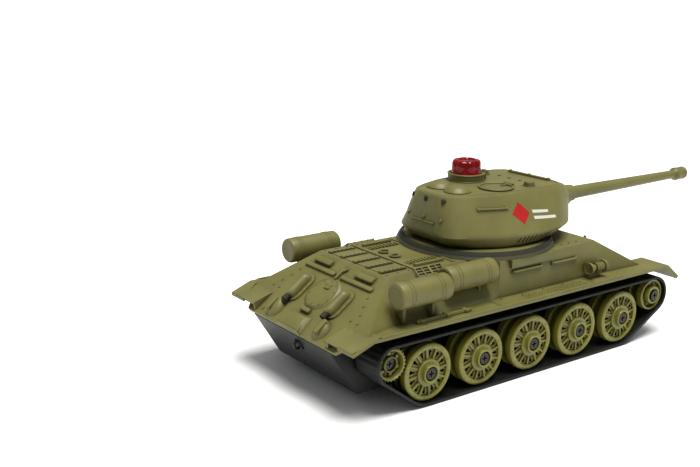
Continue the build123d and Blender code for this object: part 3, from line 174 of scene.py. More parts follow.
def inset(outline, d):
    """An outline, counter-clockwise, moved in square to its own sides."""
    moved = []
    n = len(outline)
    for i in range(n):
        p, a, b = (Vector(outline[k]) for k in (i, i - 1, (i + 1) % n))
        u, v = (p - a).normalized(), (b - p).normalized()
        nu, nv = Vector((-u.y, u.x)), Vector((-v.y, v.x))
        mid = nu + nv
        moved.append(p + mid * (d / max(0.35, mid.dot(nu))) if mid.length > 1e-6 else p + nu * d)
    return [tuple(p) for p in moved]


def prism(bm, where, outline, low, high, bevel=0.0):
    """An outline raised from low to high, with a bevelled upper edge."""
    steps = [(low, 0.0)]
    if bevel:
        steps += [(high - bevel, 0.0), (high - bevel * 0.3, bevel * 0.35)]
    steps.append((high, bevel))
    rings = []
    for z, d in steps:
        ring = inset(outline, d) if d else outline
        rings.append([where @ Vector((x, y, z)) for x, y in ring])
    loft(bm, rings)


def rect(length, width, x=0.0, y=0.0):
    a, b = length / 2, width / 2
    return [(x - a, y - b), (x + a, y - b), (x + a, y + b), (x - a, y + b)]


def round_rect(length, width, radius, x=0.0, y=0.0, steps=5):
    points = []
    for cx, cy, start in (
        (length / 2 - radius, -width / 2 + radius, -90),
        (length / 2 - radius, width / 2 - radius, 0),
        (-length / 2 + radius, width / 2 - radius, 90),
        (-length / 2 + radius, -width / 2 + radius, 180),
    ):
        for i in range(steps + 1):
            angle = math.radians(start + 90 * i / steps)
            points.append((x + cx + radius * math.cos(angle), y + cy + radius * math.sin(angle)))
    return points


def turns(count):
    """Angles evenly spread over a full turn."""
    return [2 * math.pi * i / count for i in range(count)]


def disc(radius, count, x, y=0.0):
    return [(x + radius * math.cos(t), y + radius * math.sin(t)) for t in turns(count)]


def block(bm, where, length, width, height, bevel):
    prism(bm, where, rect(length, width), -0.4, height, bevel)


def lathe(bm, where, profile, count=48, ring=False):
    """A profile of (radius, height) turned about the frame's Z."""
    rows = []
    for r, z in profile:
        if r < 1e-6:
            rows.append([bm.verts.new(where @ Vector((0, 0, z)))])
        else:
            ring_points = [Vector((r * math.cos(t), r * math.sin(t), z)) for t in turns(count)]
            rows.append([bm.verts.new(where @ p) for p in ring_points])
    pairs = list(zip(rows, rows[1:]))
    if ring:
        pairs.append((rows[-1], rows[0]))
    for a, b in pairs:
        for i in range(count):
            j = (i + 1) % count
            if len(a) == 1 and len(b) == 1:
                break
            if len(a) == 1:
                bm.faces.new((a[0], b[j], b[i]))
            elif len(b) == 1:
                bm.faces.new((a[i], a[j], b[0]))
            else:
                bm.faces.new((a[i], a[j], b[j], b[i]))
    if not ring:
        if len(rows[0]) > 1:
            bm.faces.new(list(reversed(rows[0])))
        if len(rows[-1]) > 1:
            bm.faces.new(rows[-1])


def stud(bm, where, radius, height, count=10):
    """A domed rivet head."""
    profile = [(radius, -0.3), (radius, height * 0.35), (radius * 0.75, height * 0.85), (0, height)]
    lathe(bm, where, profile, count)


def tube(bm, points, radius, count=10, squash=1.0):
    """A round bar along points."""
    last = len(points) - 1
    ways = [(points[min(i + 1, last)] - points[max(i - 1, 0)]).normalized() for i in range(last + 1)]
    up = Vector((0, 0, 1)) if abs(ways[0].z) < 0.9 else Vector((0, 1, 0))
    rings = []
    for p, way in zip(points, ways):
        up = (up - way * up.dot(way)).normalized()
        side = way.cross(up)
        rings.append(
            [p + side * (radius * math.cos(t)) + up * (radius * squash * math.sin(t)) for t in turns(count)]
        )
    loft(bm, rings)


def sheet_on(bm, places, thickness):
    """A thin raised marking: a grid of places already on a surface, lifted along its normals."""
    top = [[bm.verts.new(lifted(m, thickness)) for m in row] for row in places]
    under = [[bm.verts.new(lifted(m, -0.3)) for m in row] for row in places]
    n, m = len(top), len(top[0])
    for i in range(n - 1):
        for j in range(m - 1):
            bm.faces.new((top[i][j], top[i + 1][j], top[i + 1][j + 1], top[i][j + 1]))
            bm.faces.new((under[i][j], under[i][j + 1], under[i + 1][j + 1], under[i + 1][j]))
    edge = (
        [(i, 0) for i in range(n)]
        + [(n - 1, j) for j in range(1, m)]
        + [(i, m - 1) for i in range(n - 2, -1, -1)]
        + [(0, j) for j in range(m - 2, 0, -1)]
    )
    for (a, b), (c, d) in zip(edge, edge[1:] + edge[:1]):
        bm.faces.new((top[a][b], under[a][b], under[c][d], top[c][d]))


def to_mesh(bm, name, sharp=35.0):
    """Turns a bmesh in millimetres into a mesh, smooth up to an angle in degrees."""
    bmesh.ops.recalc_face_normals(bm, faces=bm.faces)
    bm.transform(Matrix.Scale(MM, 4))
    for e in bm.edges:
        if len(e.link_faces) == 2:
            e.smooth = e.calc_face_angle(0.0) < math.radians(sharp)
    for f in bm.faces:
        f.smooth = True
    mesh = bpy.data.meshes.new(name)
    bm.to_mesh(mesh)
    bm.free()
    return mesh


def piece(name, bm, material, body="root", replaces=(), sharp=35.0):
    """Turns a bmesh into a finished piece of the object."""
    mesh = to_mesh(bm, name, sharp) if isinstance(bm, bmesh.types.BMesh) else bm
    obj = bpy.data.objects.new(name, mesh)
    bpy.context.scene.collection.objects.link(obj)
    obj.data.materials.clear()
    obj.data.materials.append(material)
    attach(obj, body)
    if replaces:
        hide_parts(*replaces)
    return obj


def carved(bm, cutter_bm, name):
    """A mesh with another one cut out of it."""
    base = bpy.data.objects.new(name, to_mesh(bm, name))
    cutter = bpy.data.objects.new(name + "_cutter", to_mesh(cutter_bm, name + "_cutter"))
    for o in (base, cutter):
        bpy.context.scene.collection.objects.link(o)
    cut = base.modifiers.new("cut", "BOOLEAN")
    cut.operation = "DIFFERENCE"
    cut.solver = "EXACT"
    cut.object = cutter
    bpy.context.view_layer.update()
    done = bpy.data.meshes.new_from_object(base.evaluated_get(bpy.context.evaluated_depsgraph_get()))
    for o in (base, cutter):
        bpy.data.objects.remove(o)
    out = bmesh.new()
    out.from_mesh(done)
    out.transform(Matrix.Scale(1 / MM, 4))
    return out


# --- Materials ---


def node(tree_, kind, **values):
    n = tree_.nodes.new(kind)
    for key, value in values.items():
        if key in n.inputs:
            n.inputs[key].default_value = value
        else:
            setattr(n, key, value)
    return n


def blank(name):
    """A new material with its node tree and its shader."""
    m = bpy.data.materials.new(name)
    m.use_nodes = True
    return m, m.node_tree, m.node_tree.nodes["Principled BSDF"]


def textured(t, kind, **values):
    """A texture laid out in the object's own coordinates."""
    texture = node(t, kind, **values)
    place = node(t, "ShaderNodeTexCoord")
    t.links.new(place.outputs["Object"], texture.inputs["Vector"])
    return texture


def coloured(t, value, *stops):
    """A colour ramp from stops of (position, colour)."""
    ramp_node = node(t, "ShaderNodeValToRGB")
    ramp = ramp_node.color_ramp
    for element, (position, colour) in zip(ramp.elements, (stops[0], stops[-1])):
        element.position = position
        element.color = (*colour, 1)
    for position, colour in stops[1:-1]:
        ramp.elements.new(position).color = (*colour, 1)
    t.links.new(value, ramp_node.inputs["Fac"])
    return ramp_node.outputs["Color"]


def glossed(t, shader, value, low, high):
    """Roughness that varies with a value."""
    gloss = node(t, "ShaderNodeMapRange")
    gloss.inputs["To Min"].default_value = low
    gloss.inputs["To Max"].default_value = high
    t.links.new(value, gloss.inputs["Value"])
    t.links.new(gloss.outputs["Result"], shader.inputs["Roughness"])


def bumped(t, shader, height, strength, distance):
    bump = node(t, "ShaderNodeBump", Strength=strength, Distance=distance)
    t.links.new(height, bump.inputs["Height"])
    t.links.new(bump.outputs["Normal"], shader.inputs["Normal"])


def moulded(name, base, dark, light, roughness=(0.42, 0.58), grain=0.10, specular=0.5, crevice_shade=0.0):
    """Moulded plastic: uneven colour, painted shade darkening the hollows, a fine grain and a soft gloss.
    """
    m, t, shader = blank(name)
    shader.inputs["Specular IOR Level"].default_value = specular
    broad = textured(t, "ShaderNodeTexNoise", Scale=60.0, Detail=4.0, Roughness=0.6)
    fine = textured(t, "ShaderNodeTexNoise", Scale=1400.0, Detail=3.0, Roughness=0.55)
    speck = textured(t, "ShaderNodeTexVoronoi", Scale=900.0)
    colour = coloured(t, broad.outputs["Fac"], (0.32, dark), (0.5, base), (0.72, light))
    # Painted shade: ambient occlusion darkens the colour in hollows and creases
    if crevice_shade:
        hollow = node(t, "ShaderNodeAmbientOcclusion", samples=6, Distance=0.0022)
        fade = node(t, "ShaderNodeMapRange")
        fade.inputs["From Min"].default_value = 0.35
        fade.inputs["From Max"].default_value = 0.95
        mix = node(t, "ShaderNodeMix", data_type="RGBA")
        mix.inputs[6].default_value = (*[c * (1 - crevice_shade) for c in dark], 1)
        t.links.new(hollow.outputs["AO"], fade.inputs["Value"])
        t.links.new(fade.outputs["Result"], mix.inputs[0])
        t.links.new(colour, mix.inputs[7])
        colour = mix.outputs[2]
    t.links.new(colour, shader.inputs["Base Color"])
    glossed(t, shader, broad.outputs["Fac"], *roughness)
    both = node(t, "ShaderNodeMath", operation="MULTIPLY_ADD")
    both.inputs[1].default_value = 0.35
    t.links.new(speck.outputs["Distance"], both.inputs[0])
    t.links.new(fine.outputs["Fac"], both.inputs[2])
    bumped(t, shader, both.outputs[0], grain, 0.0002)
    return m


def metal(name, base, roughness):
    m, t, shader = blank(name)
    shader.inputs["Metallic"].default_value = 1.0
    noise = textured(t, "ShaderNodeTexNoise", Scale=500.0, Detail=5.0).outputs["Fac"]
    colour = coloured(t, noise, (0.0, [c * 0.7 for c in base]), (1.0, base))
    t.links.new(colour, shader.inputs["Base Color"])
    glossed(t, shader, noise, roughness * 0.7, roughness * 1.3)
    bumped(t, shader, noise, 0.08, 0.0001)
    return m


def clear_red(name):
    m, t, shader = blank(name)
    shader.inputs["Transmission Weight"].default_value = 0.25
    shader.inputs["IOR"].default_value = 1.49
    shader.inputs["Specular IOR Level"].default_value = 0.3
    shader.inputs["Roughness"].default_value = 0.06
    noise = textured(t, "ShaderNodeTexNoise", Scale=180.0, Detail=2.0).outputs["Fac"]
    colour = coloured(t, noise, (0.3, (0.13, 0.0, 0.001)), (0.7, (0.34, 0.001, 0.002)))
    t.links.new(colour, shader.inputs["Base Color"])
    bumped(t, shader, noise, 0.05, 0.0003)
    return m


# The last value of the olive, its shade and the wheels sets how strongly painted shade darkens their
# hollows
OLIVE = moulded("olive_plastic", (0.144, 0.136, 0.043), (0.129, 0.122, 0.038), (0.161, 0.152, 0.050),
    crevice_shade=0.5)
# The olive darkened as in shadow: painted shade on the collar, in the grilles and on the rear plate
SHADE = moulded("olive_shade", (0.054, 0.052, 0.022), (0.045, 0.043, 0.018), (0.063, 0.061, 0.026),
    crevice_shade=0.4)
WHEEL = moulded(
    "wheel_plastic", (0.185, 0.178, 0.030), (0.160, 0.154, 0.025), (0.210, 0.202, 0.036),
    (0.26, 0.38), 0.06, 0.6, 0.6,
)
BLACK = moulded("black_plastic", (0.016, 0.015, 0.015), (0.012, 0.011, 0.011), (0.021, 0.019, 0.019),
    (0.38, 0.52), 0.12)
TUB_DARK = moulded("tub_plastic", (0.010, 0.010, 0.010), (0.008, 0.008, 0.008), (0.013, 0.012, 0.012),
    (0.38, 0.5), 0.10)
RUBBER = moulded("track_rubber", (0.006, 0.006, 0.006), (0.004, 0.004, 0.004), (0.009, 0.009, 0.009),
    (0.5, 0.7), 0.35)
# Near-black: painted shade in gaps, seams, holes and slits; also the exhaust pipes and the roof lugs
PIT = moulded("dark_slot", (0.02, 0.02, 0.012), (0.014, 0.014, 0.01), (0.028, 0.027, 0.017), (0.6, 0.8),
    0.1)
RED_MARK = moulded("red_marking", (0.36, 0.008, 0.008), (0.32, 0.007, 0.007), (0.40, 0.01, 0.01),
    (0.4, 0.5), 0.05)
WHITE_MARK = moulded("white_marking", (0.55, 0.54, 0.48), (0.5, 0.49, 0.43), (0.6, 0.59, 0.53),
    (0.4, 0.5), 0.05)
WHITE = moulded("white_nylon", (0.7, 0.69, 0.64), (0.64, 0.63, 0.58), (0.76, 0.75, 0.7), (0.35, 0.45), 0.05)
GREEN = moulded("green_board", (0.02, 0.12, 0.035), (0.014, 0.09, 0.026), (0.028, 0.15, 0.045),
    (0.3, 0.4), 0.08)
WRAP = moulded("battery_wrap", (0.02, 0.06, 0.25), (0.016, 0.048, 0.2), (0.026, 0.075, 0.3), (0.2, 0.3),
    0.06)
CLEAR_LENS = moulded("emitter_clear", (0.03, 0.01, 0.02), (0.02, 0.008, 0.014), (0.04, 0.014, 0.026),
    (0.1, 0.15), 0.02)
DARK_STEEL = metal("dark_steel", (0.075, 0.072, 0.068), 0.30)
BRIGHT_STEEL = metal("bright_steel", (0.62, 0.6, 0.56), 0.24)
RED_CLEAR = clear_red("red_clear")
BY_SLOT = {
    "olive_plastic": OLIVE,
    "wheel_plastic": WHEEL,
    "black_plastic": BLACK,
    "track_rubber": RUBBER,
    "dark_steel": DARK_STEEL,
    "bright_steel": BRIGHT_STEEL,
    "white_nylon": WHITE,
    "red_clear": RED_CLEAR,
    "green_board": GREEN,
    "battery_wrap": WRAP,
    "emitter_clear": CLEAR_LENS,
}
for obj in NODES.values():
    for cad_slot in obj.material_slots:
        slot_name = cad_slot.material.name if cad_slot.material else ""
        key = next((k for k in BY_SLOT if slot_name.startswith(k)), None)
        cad_slot.material = BY_SLOT.get(key, OLIVE)
for cad_slot in NODES["lower_hull"].material_slots:
    cad_slot.material = TUB_DARK

# --- Wheels, sprockets and idlers, as they lie on the left side, then moved to their places ---
SPOKES = 12
SPROCKET_TEETH = 26
SPROCKET_BOLTS = 6
IDLER_WEBS = 6


def turned(step, count):
    """A turn about Z by a number of steps, of which count make a full turn."""
    return Matrix.Rotation(2 * math.pi * step / count, 4, "Z")


def road_wheel_mesh():
    r = half_height("road_wheel_right_1")
    profile = [
        (2.06, 0.05), (4.7, 0.05), (5.0, 0.3), (5.0, 5.4), (9.5, 5.4), (9.5, 0.3), (9.8, 0.05),
        (r - 0.4, 0.05),
        (r - 0.05, 0.4), (r - 0.05, 3.3), (r - 0.4, 3.7), (r - 2.45, 3.7), (r - 2.45, 7.3), (r - 0.4, 7.3),
        (r - 0.05, 7.7), (r - 0.05, 9.9), (r - 0.25, 10.5), (r - 0.75, 10.85), (r - 1.5, 10.95),
        (r - 2.2, 10.85),
        (r - 2.6, 10.5), (r - 2.75, 9.75), (6.35, 9.75), (6.05, 9.95), (6.0, 11.0), (5.85, 11.25),
        (5.5, 11.35),
        (4.5, 11.35), (4.25, 11.6), (4.2, 12.85), (4.05, 13.15), (3.75, 13.25), (3.4, 13.2), (3.1, 12.9),
        (3.05, 11.35),
        (2.06, 11.35),
    ]
    body = bmesh.new()
    lathe(body, Matrix.Identity(4), profile, 72, ring=True)
    # Keyhole openings between the spokes
    keyhole = [(6.75, -0.32), (7.9, -0.42)]
    for degrees in range(-125, 126, 25):
        a = math.radians(degrees)
        keyhole.append((8.85 + 0.82 * math.cos(a), 0.82 * math.sin(a)))
    keyhole += [(7.9, 0.42), (6.75, 0.32)]
    holes = bmesh.new()
    for i in range(SPOKES):
        prism(holes, turned(i + 0.5, SPOKES), keyhole, 4.0, 12.0)
    wheel = carved(body, holes, "road_wheel")
    for i in range(SPOKES):
        turn = turned(i, SPOKES)
        rings = []
        for x, half, top in ((5.7, 0.62, 10.6), (6.6, 0.5, 10.75), (8.4, 0.42, 10.7), (10.25, 0.5, 10.55)):
            section = [
                (-half, 9.5), (half, 9.5), (half * 0.85, top - 0.12), (half * 0.45, top),
                (-half * 0.45, top), (-half * 0.85, top - 0.12),
            ]
            rings.append([turn @ Vector((x, y, z)) for y, z in section])
        loft(wheel, rings)
        # A small mark on the rim's face, between two spokes
        mark = turned(i + 0.5, SPOKES) @ Matrix.Translation((r - 1.5, 0, 10.9))
        prism(wheel, mark, rect(1.1, 0.3), -0.2, 0.14, 0.06)
    return to_mesh(wheel, "road_wheel")


def idler_mesh():
    r = half_height("idler_left")
    profile = [
        (2.06, 0.05), (r - 0.4, 0.05), (r - 0.05, 0.4), (r - 0.05, 3.3), (r - 0.4, 3.7), (r - 2.45, 3.7),
        (r - 2.45, 7.3), (r - 0.4, 7.3), (r - 0.05, 7.7), (r - 0.05, 10.6), (r - 0.3, 10.9),
        (r - 0.75, 10.95),
        (r - 1.1, 10.8), (r - 1.25, 10.4), (r - 1.35, 9.0), (4.7, 9.0), (4.45, 9.2), (4.4, 11.9),
        (4.2, 12.2),
        (3.9, 12.3), (3.4, 12.25), (3.1, 12.0), (3.05, 11.35), (2.06, 11.35),
    ]
    bm = bmesh.new()
    lathe(bm, Matrix.Identity(4), profile, 64, ring=True)
    for i in range(IDLER_WEBS):
        prism(bm, turned(i, IDLER_WEBS), rect(1.7, 0.5, 5.45), 8.6, 9.5, 0.12)
    return to_mesh(bm, "idler")


def sprocket_mesh():
    low, high = box_mm("sprocket_left")
    r = (high.z - low.z) / 2
    width = high.y - low.y
    floor = width - 2.6
    profile = [
        (1.56, 0.05), (r - 0.9, 0.05), (r - 0.5, 0.4), (r - 0.5, 3.3), (r - 0.9, 3.7), (r - 2.45, 3.7),
        (r - 2.45, 7.3), (r - 0.9, 7.3), (r - 0.5, 7.6), (r - 0.5, width - 0.3), (r - 0.75, width - 0.05),
        (r - 1.3, width - 0.05), (r - 1.5, width - 0.3), (r - 1.75, floor + 0.3), (r - 2.0, floor),
        (3.75, floor),
        (3.5, floor + 0.2), (3.4, floor + 1.7), (3.2, floor + 1.9), (2.9, floor + 1.9), (2.85, width - 2.2),
        (1.56, width - 2.2),
    ]
    bm = bmesh.new()
    lathe(bm, Matrix.Identity(4), profile, 78, ring=True)
    tooth = [
        (r - 0.75, -0.5), (r - 0.35, -0.42), (r - 0.04, -0.2), (r - 0.04, 0.2), (r - 0.35, 0.42),
        (r - 0.75, 0.5),
    ]
    for i in range(SPROCKET_TEETH):
        prism(bm, turned(i, SPROCKET_TEETH), tooth, width - 1.7, width - 0.15, 0.08)
    holes = bmesh.new()
    for i in range(SPROCKET_BOLTS):
        stud(bm, turned(i, SPROCKET_BOLTS) @ Matrix.Translation((4.6, 0, floor)), 0.42, 0.5)
        prism(holes, turned(i + 0.5, SPROCKET_BOLTS), disc(0.75, 16, 4.5), floor - 1.2, floor + 1.0)
    return to_mesh(carved(bm, holes, "sprocket"), "sprocket")


def wheel_place(node_name, side):
    """Where a wheel's inner face is: its Z points outward from the hull."""
    low, high = box_mm(node_name)
    mid = (low + high) / 2
    inner = low.y if side > 0 else high.y
    return basis((mid.x, inner, mid.z), (0, side, 0), (1, 0, 0))


def placed(mesh, where, name):
    out = mesh.copy()
    out.name = name
    where = where.copy()
    where.translation *= MM
    out.transform(where)
    return out


meshes = {"road_wheel": road_wheel_mesh(), "idler": idler_mesh(), "sprocket": sprocket_mesh()}
for side_name, side in SIDES.items():
    for kind, count in (("road_wheel", 5), ("idler", 1), ("sprocket", 1)):
        for i in range(count):
            node_name = f"{kind}_{side_name}" + (f"_{i + 1}" if count > 1 else "")
            turn = wheel_place(node_name, side) @ Matrix.Rotation(0.37 * i * side + 0.1, 4, "Z")
            piece(
                "detail_" + node_name,
                placed(meshes[kind], turn, "detail_" + node_name),
                WHEEL,
                next(b for b, obj in frame["bodies"].items() if NODES[node_name].parent == obj),
                replaces=(node_name,),
            )

# --- Tracks: a smooth-edged rubber belt with a fine tread across its outer face ---


def hull_points(points):
    """The points' outermost loop, counter-clockwise."""
    points = sorted(set(points))

    def half(seq):
        out = []
        for p in seq:
            while len(out) > 1:
                (ax, ay), (bx, by) = out[-2:]
                if (bx - ax) * (p[1] - ay) > (by - ay) * (p[0] - ax):
                    break
                out.pop()
            out.append(p)
        return out[:-1]

    return half(points) + half(reversed(points))


def belt_path(side_name, extra):
    """The tight loop round a side's wheels, a little outside them."""
    points = []
    for kind in ("sprocket_{}", "road_wheel_{}_1", "road_wheel_{}_5", "idler_{}"):
        node_name = kind.format(side_name)
        mid, r = middle(node_name), half_height(node_name) + extra
        for k in range(180):
            a = math.radians(2 * k)
            points.append((round(mid.x + r * math.cos(a), 5), round(mid.z + r * math.sin(a), 5)))
    return hull_points(points)


def track(side_name):
    low, high = box_mm(f"track_{side_name}")
    gap, thick = 0.25, 1.4
    loop = [Vector(p) for p in belt_path(side_name, gap)]
    length = sum((loop[i] - loop[i - 1]).length for i in range(len(loop)))
    pitch = 2.4
    count = round(length / pitch)
    stations = []
    step = length / (count * 4)
    target = 0.0
    travelled = 0.0
    n = len(loop)
    for k in range(n):
        a, b = loop[k], loop[(k + 1) % n]
        run = (b - a).length
        while target <= travelled + run + 1e-9 and len(stations) < count * 4:
            t = (target - travelled) / run if run > 1e-9 else 0
            way = (b - a).normalized()
            stations.append((a + (b - a) * t, Vector((way.y, -way.x))))
            target += step
        travelled += run
    smooth = []
    for k, (p, nrm) in enumerate(stations):
        nn = (stations[k - 1][1] + nrm + stations[(k + 1) % len(stations)][1]).normalized()
        smooth.append((p, nn))
    y0, y1 = low.y + 0.02, high.y - 0.02
    mid = (y0 + y1) / 2
    half = (y1 - y0) / 2
    bm = bmesh.new()
    rings = []
    for k, (p, nrm) in enumerate(smooth):
        groove = 0.32 if k % 4 in (0, 1) else 0.0
        section = [
            (-half + 0.05, 0.25), (-half, 0.6), (-half + 0.06, thick - 0.4), (-half + 0.35, thick - 0.12),
            (-half + 1.1, thick - 0.06), (-half + 1.5, thick - 0.06 - groove),
            (half - 1.5, thick - 0.06 - groove),
            (half - 1.1, thick - 0.06), (half - 0.35, thick - 0.12), (half - 0.06, thick - 0.4),
            (half, 0.6),
            (half - 0.05, 0.25), (half - 0.35, 0.05), (-half + 0.35, 0.05),
        ]
        rings.append([Vector((p.x + nrm.x * h, mid + y, p.y + nrm.y * h)) for y, h in section])
    loft(bm, rings, closed=True)
    replaced = (f"track_{side_name}",)
    piece(f"belt_{side_name}", bm, RUBBER, "root", replaces=replaced, sharp=30)


for side_name in SIDES:
    track(side_name)

# --- Turret ---


def even(outline, step):
    """The same closed outline with points a step apart."""
    loop = [Vector(p) for p in outline]
    out = []
    for i, a in enumerate(loop):
        b = loop[(i + 1) % len(loop)]
        n = max(1, round((b - a).length / step))
        out += [tuple(a + (b - a) * k / n) for k in range(n)]
    return out


def rounded(outline, times):
    """Cuts an outline's corners, which rounds them."""
    loop = [Vector(p) for p in outline]
    for _ in range(times):
        cut = []
        for i, a in enumerate(loop):
            b = loop[(i + 1) % len(loop)]
            cut += [a * 0.75 + b * 0.25, a * 0.25 + b * 0.75]
        loop = cut
    return [tuple(p) for p in loop]


# The cast turret: half outlines from back to front, at five heights
FOOT = [(-28.6, 0), (-28.0, 12.5), (-20.0, 21.2), (-9.0, 27.2), (1.0, 29.4), (12.0, 28.8), (24.0, 25.2),
    (35.0, 20.0), (42.5, 16.5), (46.5, 10.2)]
BELT = [(-33.2, 0), (-32.6, 13.5), (-29.5, 19.4), (-20.5, 23.4), (-11.0, 27.6), (0.0, 30.8), (13.0, 31.6),
    (26.0, 29.8), (37.0, 24.6), (45.4, 17.0), (49.4, 10.2)]
MID = [(-32.4, 0), (-31.4, 9.6), (-27.9, 14.8), (-20.2, 18.5), (-9.9, 22.4), (3.0, 24.8), (17.0, 25.6),
    (30.0, 25.0), (38.5, 21.4), (45.4, 16.3), (49.4, 10.2)]
SHOULDER = [(-31.9, 0), (-30.9, 8.2), (-27.4, 13.1), (-20.1, 16.8), (-9.5, 20.5), (4.2, 22.6),
    (18.8, 23.5), (31.0, 23.3), (38.0, 20.3), (43.2, 15.9), (46.2, 10.2)]
ROOF = [(-31.6, 0), (-30.6, 7.2), (-27.0, 12.0), (-20.0, 15.6), (-9.2, 19.2), (5.0, 21.0), (20.0, 22.0),
    (31.0, 21.6), (36.4, 18.4), (38.2, 10.2)]
ROUND = 180  # directions in which an outline is measured
HEART = 6.0  # the middle of the outlines, ahead of the turret's axis


def reach(half):
    """How far a rounded outline lies from its middle, in each of many directions."""
    whole = half[1:] + [(x, -y) for x, y in reversed(half[1:])]
    loop = [Vector(q) for q in rounded(even(whole, 4.0), 3)]
    out = []
    for a in turns(ROUND):
        way = Vector((math.cos(a), math.sin(a)))
        best = 0.0
        for i, p in enumerate(loop):
            q = loop[(i + 1) % len(loop)]
            u, w = p - Vector((HEART, 0)), q - p
            across_ = way.x * w.y - way.y * w.x
            if abs(across_) < 1e-9:
                continue
            s = (u.x * way.y - u.y * way.x) / across_
            t = (u.x * w.y - u.y * w.x) / across_
            if -1e-6 <= s <= 1 + 1e-6 and t > best:
                best = t
        out.append(best)
    return out


def blend(a, b, t):
    """Between the radii a and b, t of the way."""
    return [x + (y - x) * t for x, y in zip(a, b)]


def level(radii, z):
    """A ring of points round the middle of the outlines, at a height."""
    return [
        Vector((TURRET_X + HEART + r * math.cos(a), r * math.sin(a), z)) for r,
        a in zip(radii, turns(ROUND))
    ]


foot_r, belt_r, mid_r, shoulder_r, roof_r = (reach(h) for h in (FOOT, BELT, MID, SHOULDER, ROOF))
stack = [
    (foot_r, TURRET_FOOT_Z), (blend(foot_r, belt_r, 0.62), TURRET_FOOT_Z + 2.7),
    (blend(foot_r, belt_r, 0.93), TURRET_FOOT_Z + 4.2),
    (belt_r, TURRET_FOOT_Z + 5.1), (blend(belt_r, mid_r, 0.10), TURRET_FOOT_Z + 6.4),
    (blend(belt_r, mid_r, 0.55), TURRET_FOOT_Z + 11.2),
    (mid_r, TURRET_FOOT_Z + 16.2), (blend(mid_r, shoulder_r, 0.55), TURRET_FOOT_Z + 18.3),
    (shoulder_r, TURRET_FOOT_Z + 19.9),
    (blend(shoulder_r, roof_r, 0.55), TURRET_ROOF_Z - 1.25),
    (blend(shoulder_r, roof_r, 0.95), TURRET_ROOF_Z - 0.35),
    ([r - 0.18 for r in roof_r], TURRET_ROOF_Z - 0.08), ([r - 0.5 for r in roof_r], TURRET_ROOF_Z),
]
cast = bmesh.new()
loft(cast, [level(r, z) for r, z in stack])
hollow = bmesh.new()
loft(
    hollow,
    [
        level([r - 1.1 for r in foot_r], TURRET_FOOT_Z - 0.5),
        level([r - 1.3 for r in foot_r], TURRET_FOOT_Z),
        level([r - 1.5 for r in belt_r], TURRET_FOOT_Z + 5.1),
        level([r - 1.5 for r in mid_r], TURRET_FOOT_Z + 16.2),
        level([r - 1.9 for r in shoulder_r], TURRET_ROOF_Z - 3.4),
        level([r - 2.6 for r in roof_r], TURRET_ROOF_Z - 1.8),
    ],
)
cast = carved(cast, hollow, "turret_casting")
PIVOT = Vector((TURRET_X + 41.0, 0, middle("gun_barrel").z))
window = [(8.6 * math.cos(a), 8.6 * math.sin(a)) for a in (math.radians(90 + 10 * k) for k in range(19))]
window += [(30.0, -8.6), (30.0, 8.6)]
opening = bmesh.new()
prism(opening, basis((PIVOT.x, -9.8, PIVOT.z), (0, 1, 0), (1, 0, 0)), window, 0.0, 19.6)
cast = carved(cast, opening, "turret_casting")
SHELL = BVHTree.FromBMesh(cast)
piece("turret_casting", cast, OLIVE, "turret", replaces=("turret_shell",), sharp=32.0)
roof = [(p.x, p.y) for p in level([r - 0.2 for r in roof_r], 0)]
bm = bmesh.new()
# Raised lip round the roof plate
loft(
    bm,
    [
        [Vector((*p, TURRET_ROOF_Z + dz)) for p in inset(roof, d)]
        for d, dz in ((0.45, -0.15), (0.5, 0.05), (0.6, 0.2), (1.0, 0.2), (1.15, 0.05), (1.15, -0.15))
    ],
    closed=True,
)
# Vents: two shallow domes that meet
for side in (-1, 1):
    place = upright(TURRET_X - 17.5, side * 6.0, TURRET_ROOF_Z)
    lathe(bm, place, [(6.25, -0.2), (6.25, 0.35), (5.95, 0.75), (5.6, 1.05), (4.9, 1.75), (3.8, 2.45),
        (2.2, 2.9), (0.9, 3.05), (0, 3.08)], 48)
# Periscopes
for side in (-1, 1):
    place = upright(TURRET_X + 18.7, side * 15.4, TURRET_ROOF_Z)
    prism(bm, place, round_rect(4.5, 3.9, 1.1), -0.2, 2.15, 0.4)
    prism(bm, place, round_rect(5.4, 4.8, 1.3), -0.2, 0.45, 0.2)
piece("turret_roof_castings", bm, OLIVE, "turret")

# Bar across the front edge of the roof
bm = bmesh.new()
a, b = Vector((TURRET_X + 33.6, 13.0, 0)), Vector((TURRET_X + 35.0, -13.0, 0))
bar = basis(((a.x + b.x) / 2, (a.y + b.y) / 2, TURRET_ROOF_Z), (0, 0, 1), b - a)
span = (b - a).length
prism(bm, bar, round_rect(span, 1.9, 0.5), -0.2, 0.95, 0.3)
for x in (-span / 2 + 1.0, 0, span / 2 - 1.0):
    prism(bm, bar, rect(0.9, 1.6, x, 0), 0.4, 1.3, 0.15)
piece("turret_edge_bar", bm, OLIVE, "turret")

# Handrails on both walls, rivets and a rail at the back
bm = bmesh.new()
for side in (-1, 1):
    run = ((-16.8, 72.4), (-13.4, 72.3), (-10.2, 72.2), (-6.6, 72.1), (-3.2, 72.0))
    ends = [across(SHELL, TURRET_X + x, z, side) for x, z in run]
    tube(bm, [lifted(m, 0.25) for m in ends], 0.62, 10, squash=0.75)
    for m in (ends[0], ends[-1]):
        block(bm, m, 1.3, 1.5, 0.55, 0.15)
for y, z in ((11.0, 67.4), (0.0, 67.5), (-11.0, 67.5)):
    stud(bm, behind(SHELL, y, z), 0.95, 0.9, count=16)
tube(bm, [lifted(behind(SHELL, y, 65.5), 0.3) for y in (-7.6, -3.8, 0, 3.8, 7.6)], 0.5, 10)
piece("turret_rails", bm, OLIVE, "turret")
